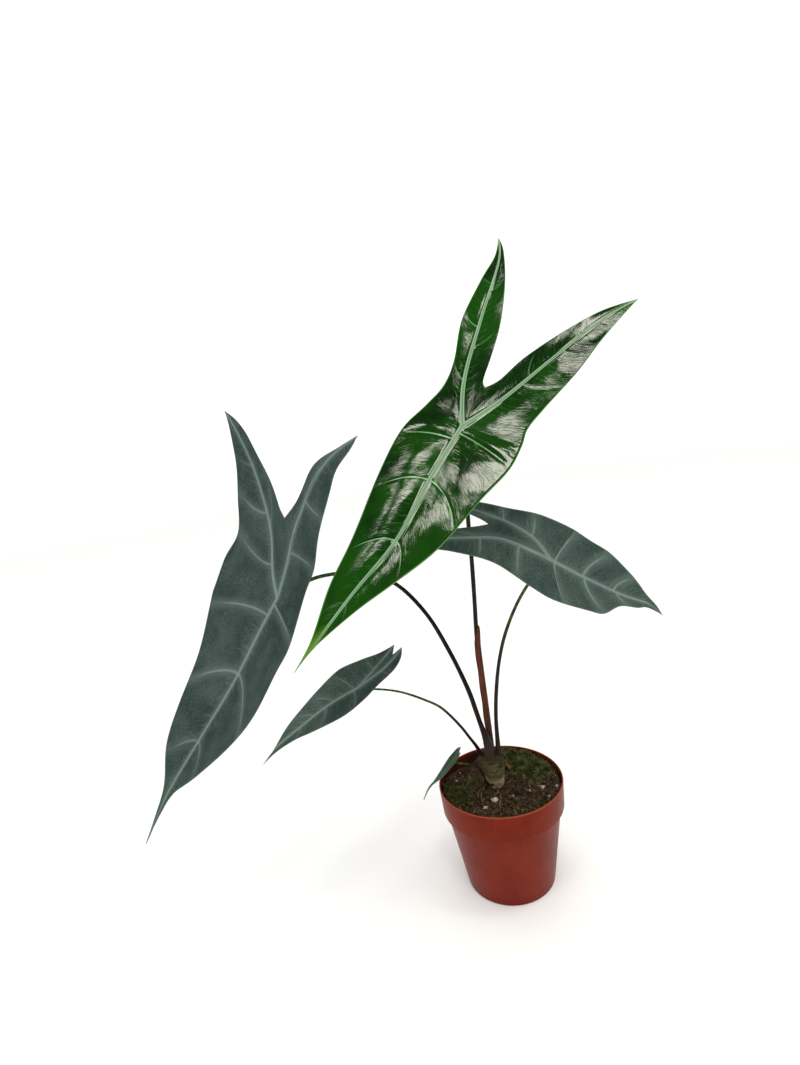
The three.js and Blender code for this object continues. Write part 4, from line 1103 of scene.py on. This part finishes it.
def blade_panel(leaf, ribs, rib, edge, lean, shares, veins, phase, pillow, strength):
    """The sheet between a rib and the edge it faces: top, underside and what the look reads"""
    root, rim = rib(shares), edge(shares**lean)
    reach = rim - root
    width = np.linalg.norm(reach, axis=1)
    ahead = rib(np.minimum(1, shares + 0.01)) - rib(np.maximum(0, shares - 0.01))
    ahead /= np.linalg.norm(ahead, axis=1)[:, None]
    forward = ahead * np.sum(reach * ahead, axis=1)[:, None]
    power = (1 + VEIN_SWEEP * ease_in(shares, 0, SWEEP_FROM))[:, None, None]
    rib_width = leaf["rib_width"] * (1 - RIB_TAPER * shares)
    rib_half = np.minimum(rib_width, width * 0.35)
    near = np.where(width > 0, rib_half / np.maximum(width, 1e-9), 0)[:, None]
    first = near * np.array(ROWS_ON_RIB)
    beyond = np.linspace(0, 1, ROWS_BEYOND + 1)[1:]
    t = np.concatenate([first, first[:, -1:] + (1 - first[:, -1:]) * beyond], axis=1)
    straight = t[..., None] * (reach - forward)[:, None]
    flat = root[:, None] + straight + t[..., None]**power * forward[:, None]

    # How far each spot is from the nearest vein
    stops = np.array([0, *veins, 1])
    order = np.interp(shares, stops, np.arange(len(stops)))
    on_vein = np.round(order)
    drawn = (on_vein > 0) & (on_vein < len(stops) - 1)
    by_column = np.gradient(flat, axis=0)
    by_row = np.gradient(flat, axis=1)
    skewed = np.abs(by_column[..., 0] * by_row[..., 1] - by_column[..., 1] * by_row[..., 0])
    step = skewed / np.maximum(np.linalg.norm(by_row, axis=-1), 1e-9)
    gap = step / np.maximum(np.gradient(order), 1e-9)[:, None]
    from_vein = np.where(drawn[:, None], np.abs(order - on_vein)[:, None] * gap, FAR_FROM_VEIN)
    from_vein = np.minimum(from_vein, FAR_FROM_VEIN)

    # The top: folded along the ribs, bulging between sunken veins, wavy at the edge
    spread = distance_to_ribs(ribs, flat)
    ratio = spread / np.maximum(rib_width, 0.2)[:, None]
    from_edge = (1 - t) * width[:, None]
    across = t * width[:, None]
    size = np.minimum(1, width / FULL_RELIEF_WIDTH)[:, None]
    bulge = np.sin(math.pi * order)[:, None]**2 * np.sin(math.pi * t)
    ripple = (np.sin(math.pi * shares) * np.sin(11 * shares + phase))[:, None]
    lift = (leaf["fold"] * (np.hypot(spread, 3) - 3) + leaf["roll"] * flat[..., 1]**2
            + leaf["dome"] * size * bulge + leaf["wave"] * size * t * t * ripple)
    lift += pillow * size * np.sin(math.pi * t) * np.sin(math.pi * shares**0.7)[:, None]
    along = shares[:, None] * rib.length
    open_sheet = ease_in(ratio, 1.2, 3.0) * ease_in(from_edge, 0, 5)
    crinkle = np.sin(along / 2.1 + 1.7 * np.sin(across / 7 + phase)) * np.sin(across / 4.3 + along / 9)
    lift += CRINKLE * leaf["dome"] * size * crinkle * open_sheet
    sunk = np.exp(-(from_vein / 1.5)**2) * ease_in(from_edge, 0, 8)
    lift -= VEIN_SINK * size * sunk * (1 - np.exp(-ratio))
    top = lift + 0.3 * size * np.exp(-((ratio - 0.7) / 0.3)**2) - 0.35 * size * np.exp(-(ratio / 0.3)**2)

    # The underside: thinnest at the edge, thick along ribs and veins
    rib_depth = (leaf["rib_depth"] + (RIB_TIP_DEPTH - leaf["rib_depth"]) * shares)[:, None]
    round_rib = np.sqrt(np.clip(1 - ratio**2, 0, 1))
    thin = BLADE_THICKNESS * math.hypot(1, leaf["fold"]) * (0.45 + 0.55 * ease_in(from_edge, 0, 2.5))
    raised = VEIN_RISE * 1.6 * size * np.exp(-(from_vein / 1.1)**2) * (1 - t)
    depth = thin + np.maximum((rib_depth - thin) * round_rib, raised * (1 - round_rib))
    u, v = flat[..., 0], flat[..., 1]
    shown = strength * (1 - 0.85 * ease_in(shares, 0.5, 0.78))[:, None] + 0 * t
    to_tip = (shares[:, None] if phase == TO_TIP else 0) + 0 * t
    places = np.stack([along + 0 * t, across, from_vein, ratio, t, from_edge, shown, to_tip], -1)
    return bent(leaf, u, v, top), bent(leaf, u, v, lift - depth), places


def blade_piece(name, leaf):
    midrib = whole(leaf["midrib"])
    costas = {side: whole(leaf[side]["costa"]) for side in ("left", "right")}
    ribs = [midrib, costas["left"], costas["right"]]
    both_mid = [*leaf["left"]["mid_veins"], *leaf["right"]["mid_veins"]]
    points, places, under, triangles = [], [], [], []

    def take(panel, mirrored):
        top, bottom, seen = panel
        columns, rows = top.shape[:2]
        base = sum(len(p) for p in points)
        points.extend([top.reshape(-1, 3), bottom.reshape(-1, 3)])
        places.extend([seen.reshape(-1, 8)] * 2)
        under.extend([np.zeros(columns * rows), np.ones(columns * rows)])
        column, row = np.meshgrid(np.arange(columns - 1), np.arange(rows - 1), indexing="ij")
        here = (base + column * rows + row).ravel()
        ahead, beside, across = here + rows, here + 1, here + rows + 1
        edge = base + np.arange(columns - 1) * rows + rows - 1
        below = columns * rows
        sides = ((here, across, ahead), (here, beside, across),
                 (here + below, ahead + below, across + below),
                 (here + below, across + below, beside + below),
                 (edge, edge + below, edge + rows + below),
                 (edge, edge + rows + below, edge + rows))
        sheet = np.concatenate([np.stack(corners, 1) for corners in sides])
        triangles.append(sheet[:, [0, 2, 1]] if mirrored else sheet)

    for side in ("left", "right"):
        half = leaf[side]
        is_right = side == "right"
        to_tip = stretch(half["edge"], half["waist"], 0)
        to_lobe = stretch(half["edge"], half["waist"], len(half["edge"]) - 1)
        costa = costas[side]
        mid_shares = columns_for(midrib.length, both_mid)
        lobe_shares = columns_for(costa.length, [*half["outer_veins"], *half["inner_veins"]])
        shown = leaf.get("veins_shown", 1)
        pillow = half.get("pillow", 0)
        take(blade_panel(leaf, ribs, midrib, to_tip, MID_LEAN, mid_shares,
                         half["mid_veins"], TO_TIP, pillow, shown), is_right)
        take(blade_panel(leaf, ribs, costa, to_lobe, LOBE_LEAN, lobe_shares,
                         half["outer_veins"], LOBE_OUTSIDE, 0, 0.8 * shown), not is_right)
        take(blade_panel(leaf, ribs, costa, whole(half["inner"]), 1, lobe_shares,
                         half["inner_veins"], LOBE_INSIDE, 0, 0.4 * shown), is_right)

    points, places = np.concatenate(points), np.concatenate(places)
    under, triangles = np.concatenate(under), np.concatenate(triangles)
    _, first, welded = np.unique(np.round(points * WELDS_PER_MM), axis=0,
                                 return_index=True, return_inverse=True)
    corners = welded.reshape(-1)[triangles]
    whole_ones = ((corners[:, 0] != corners[:, 1]) & (corners[:, 1] != corners[:, 2])
                  & (corners[:, 2] != corners[:, 0]))
    corners, triangles = corners[whole_ones], triangles[whole_ones]
    piece = piece_from(name, points[first], corners)
    sheet = np.column_stack([under, places[:, 6:8]])
    held_places = {"vein_place": places[:, 0:3], "leaf_place": places[:, 3:6], "sheet_place": sheet}
    for key, held in held_places.items():
        attribute = piece.data.attributes.new(key, "FLOAT_VECTOR", "CORNER")
        attribute.data.foreach_set("vector", held[triangles.ravel()].astype(np.float32).ravel())
    return piece


def vein_group():
    """Where ribs, veins, hair-fine veins and the margin lie, from what is stored on the sheet"""
    tree = bpy.data.node_groups.new("leaf_veins", "ShaderNodeTree")
    for name in ("Rib Half Width", "Vein Half Width", "Softness", "Fine Lines"):
        tree.interface.new_socket(name, in_out="INPUT", socket_type="NodeSocketFloat")
    for name in ("Rib", "Groove Shade", "Vein", "Halo", "Fine", "Net", "Margin", "Underside", "Tip", "Relief"):
        tree.interface.new_socket(name, in_out="OUTPUT", socket_type="NodeSocketFloat")
    given = add(tree, "NodeGroupInput").outputs
    (along, across, from_vein), (ratio, t, from_edge), (under, shown, to_tip) = (
        add(tree, "ShaderNodeSeparateXYZ", {0: stored(tree, key)["Vector"]}).outputs
        for key in ("vein_place", "leaf_place", "sheet_place"))
    place = own_place(tree)
    wobble = maths(tree, "MULTIPLY_ADD", cloudy(tree, place, 90.0, 2.0), 0.9, -0.45)

    off_rib = maths(tree, "MULTIPLY_ADD", wobble, 0.1, ratio)
    off_rib = maths(tree, "SUBTRACT", off_rib, given["Rib Half Width"])
    soft = given["Softness"]
    rib = ease(tree, off_rib, times(tree, soft, -0.4), times(tree, soft, 0.4), 1.0, 0.0)
    # Painted shade: a rib is darker down its middle, where its groove sinks
    groove_shade = ease(tree, ratio, 0.1, 0.34, 1.0, 0.0)
    thinner = maths(tree, "MULTIPLY_ADD", t, -0.62, 1.0)
    half = times(tree, given["Vein Half Width"], thinner)
    shaken = maths(tree, "MULTIPLY_ADD", wobble, 0.8, from_vein)
    inner, outer = maths(tree, "SUBTRACT", half, soft), maths(tree, "ADD", half, soft)
    vein = ease(tree, shaken, inner, outer, 1.0, 0.0)
    vein = times(tree, times(tree, vein, ease(tree, t, 0.6, 0.98, 1.0, 0.0)), shown)

    drift = maths(tree, "MULTIPLY_ADD", cloudy(tree, place, 55.0, 2.0), 9.0, along)
    lines_at = add(tree, "ShaderNodeCombineXYZ", {0: drift, 1: times(tree, across, 0.06)})
    lines = cloudy(tree, lines_at.outputs[0], 1.0, 2.0, 0.5)
    fine = times(tree, ease(tree, lines, 0.53, 0.68), ease(tree, across, 3.0, 26.0, 1.0, 0.12))
    cells = add(tree, "ShaderNodeTexVoronoi", {"Vector": place, "Scale": 300.0},
                feature="DISTANCE_TO_EDGE").outputs["Distance"]
    patches = ease(tree, cloudy(tree, place, 70.0, 2.0), 0.4, 0.6)
    near_vein = times(tree, ease(tree, from_vein, 0.0, 9.0, 1.0, 0.0), shown)
    between_ribs = times(tree, lines, ease(tree, ratio, 1.0, 2.0))
    add(tree, "NodeGroupOutput", {
        "Rib": rib, "Groove Shade": groove_shade, "Vein": vein, "Underside": under,
        "Halo": maths(tree, "MAXIMUM", near_vein, ease(tree, ratio, 0.5, 5.0, 1.0, 0.0)),
        "Fine": times(tree, fine, given["Fine Lines"]),
        "Net": times(tree, ease(tree, cells, 0.02, 0.1, 1.0, 0.0), patches),
        "Margin": ease(tree, from_edge, 0.35, 1.1, 1.0, 0.0),
        "Tip": ease(tree, to_tip, 0.79, 0.92),
        "Relief": maths(tree, "MULTIPLY_ADD", between_ribs, 0.16, times(tree, vein, 0.12)),
    })
    return tree


leaf_veins = vein_group()


def use_veins(tree, rib_half, vein_half, softness, fine_lines):
    """The leaf's veins in a look, with widths and softness of its own"""
    inputs = {"Rib Half Width": rib_half, "Vein Half Width": vein_half,
              "Softness": softness, "Fine Lines": fine_lines}
    return add(tree, "ShaderNodeGroup", inputs, node_tree=leaf_veins).outputs


def painted(tree, base, layers):
    """A colour with layers over it, each as its share, how strong it is and its colour"""
    for share, strength, colour in layers:
        base = blend_colour(tree, times(tree, share, strength), base, colour)
    return base


def leaf_colour(tree, veins, above, below_dark, below_light):
    """The colour above and that of the paler underside, whose veins are paler still"""
    drawn = maths(tree, "MAXIMUM", veins["Rib"], veins["Vein"])
    below = blend_colour(tree, drawn, below_dark, below_light)
    return blend_colour(tree, veins["Underside"], above, below)


# The newest leaf is waxy: deep green, mirror-like, with silvery ribs and veins
glossy_look, tree, shader = new_look("glossy_leaf", Roughness=0.1)
veins = use_veins(tree, 0.68, 0.62, 0.3, 1.0)
place = own_place(tree)
green = blend_colour(tree, ease(tree, cloudy(tree, place, 16.0, 3.0), 0.38, 0.62),
                     (0.002, 0.0155, 0.0008, 1), (0.006, 0.05, 0.0014, 1))
# The pale ribs, with painted shade down their grooved middle
rib_colour = blend_colour(tree, times(tree, veins["Groove Shade"], 0.7),
                          (0.26, 0.4, 0.25, 1), (0.06, 0.16, 0.06, 1))
green = painted(tree, green, (
    (veins["Fine"], 0.5, (0.03, 0.15, 0.02, 1)),
    (veins["Vein"], 1.0, (0.16, 0.32, 0.16, 1)),
    (veins["Rib"], 1.0, rib_colour),
    (veins["Margin"], 0.8, (0.1, 0.27, 0.06, 1)),
    (veins["Tip"], 0.95, (0.09, 0.23, 0.012, 1))))
join(tree, leaf_colour(tree, veins, green, (0.075, 0.17, 0.075, 1), (0.2, 0.33, 0.17, 1)),
     shader, "Base Color")
rough = maths(tree, "MULTIPLY_ADD", cloudy(tree, place, 300.0, 2.0), 0.04, 0.07)
rough = maths(tree, "MULTIPLY_ADD", veins["Rib"], 0.2, rough)
join(tree, maths(tree, "MULTIPLY_ADD", veins["Underside"], 0.4, rough), shader, "Roughness")
join(tree, bump(tree, veins["Relief"], 0.8), shader, "Normal")


# The older leaves are matt: blue-grey green with soft pale veins, their grey partly a painted sheen of
# the bright sky. The small one is greener
def matt_look(name, dark, light, pale):
    look, tree, shader = new_look(name, Roughness=0.55, Specular_IOR_Level=0.3)
    veins = use_veins(tree, 0.95, 1.15, 0.9, 0.8)
    place = own_place(tree)
    speckle = cloudy(tree, place, 900.0, 3.0, 0.7)
    grey = blend_colour(tree, ease(tree, cloudy(tree, place, 28.0, 3.0), 0.35, 0.65), dark, light)
    whitish = blend_colour(tree, 0.45, light, pale)
    grey = painted(tree, grey, (
        (veins["Halo"], 0.5, whitish),
        (veins["Net"], 0.14, pale),
        (ease(tree, speckle, 0.4, 0.7), 0.35, whitish),
        (veins["Fine"], 0.3, pale),
        (veins["Vein"], 0.65, pale),
        (veins["Rib"], 0.8, pale),
        (veins["Tip"], 0.4, (0.03, 0.055, 0.014, 1)),
        (veins["Margin"], 0.6, (0.13, 0.19, 0.12, 1))))
    join(tree, leaf_colour(tree, veins, grey, (0.1, 0.13, 0.1, 1), (0.2, 0.23, 0.16, 1)),
         shader, "Base Color")
    join(tree, maths(tree, "MULTIPLY_ADD", speckle, 0.2, 0.42), shader, "Roughness")
    relief = maths(tree, "MULTIPLY_ADD", speckle, 0.12, veins["Relief"])
    join(tree, bump(tree, relief, 0.6), shader, "Normal")
    return look


# Blue-grey greens: the leaves' own colour with a painted sheen of the sky in it
old_look = matt_look("matt_leaf", (0.014, 0.035, 0.028, 1), (0.034, 0.062, 0.053, 1),
                     (0.19, 0.26, 0.235, 1))
# Painted shade: the small leaf's greens are darker than its own colour
young_look = matt_look("young_leaf", (0.008, 0.026, 0.011, 1), (0.018, 0.05, 0.022, 1),
                       (0.07, 0.14, 0.08, 1))

for leaf_name, leaf in leaves.items():
    blade = blade_piece(f"leaf_{leaf_name}", leaf)
    blade.data.materials.append({"tall": glossy_look, "small": young_look}.get(leaf_name, old_look))
    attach(blade, "root")
    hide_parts(f"blade_{leaf_name}")
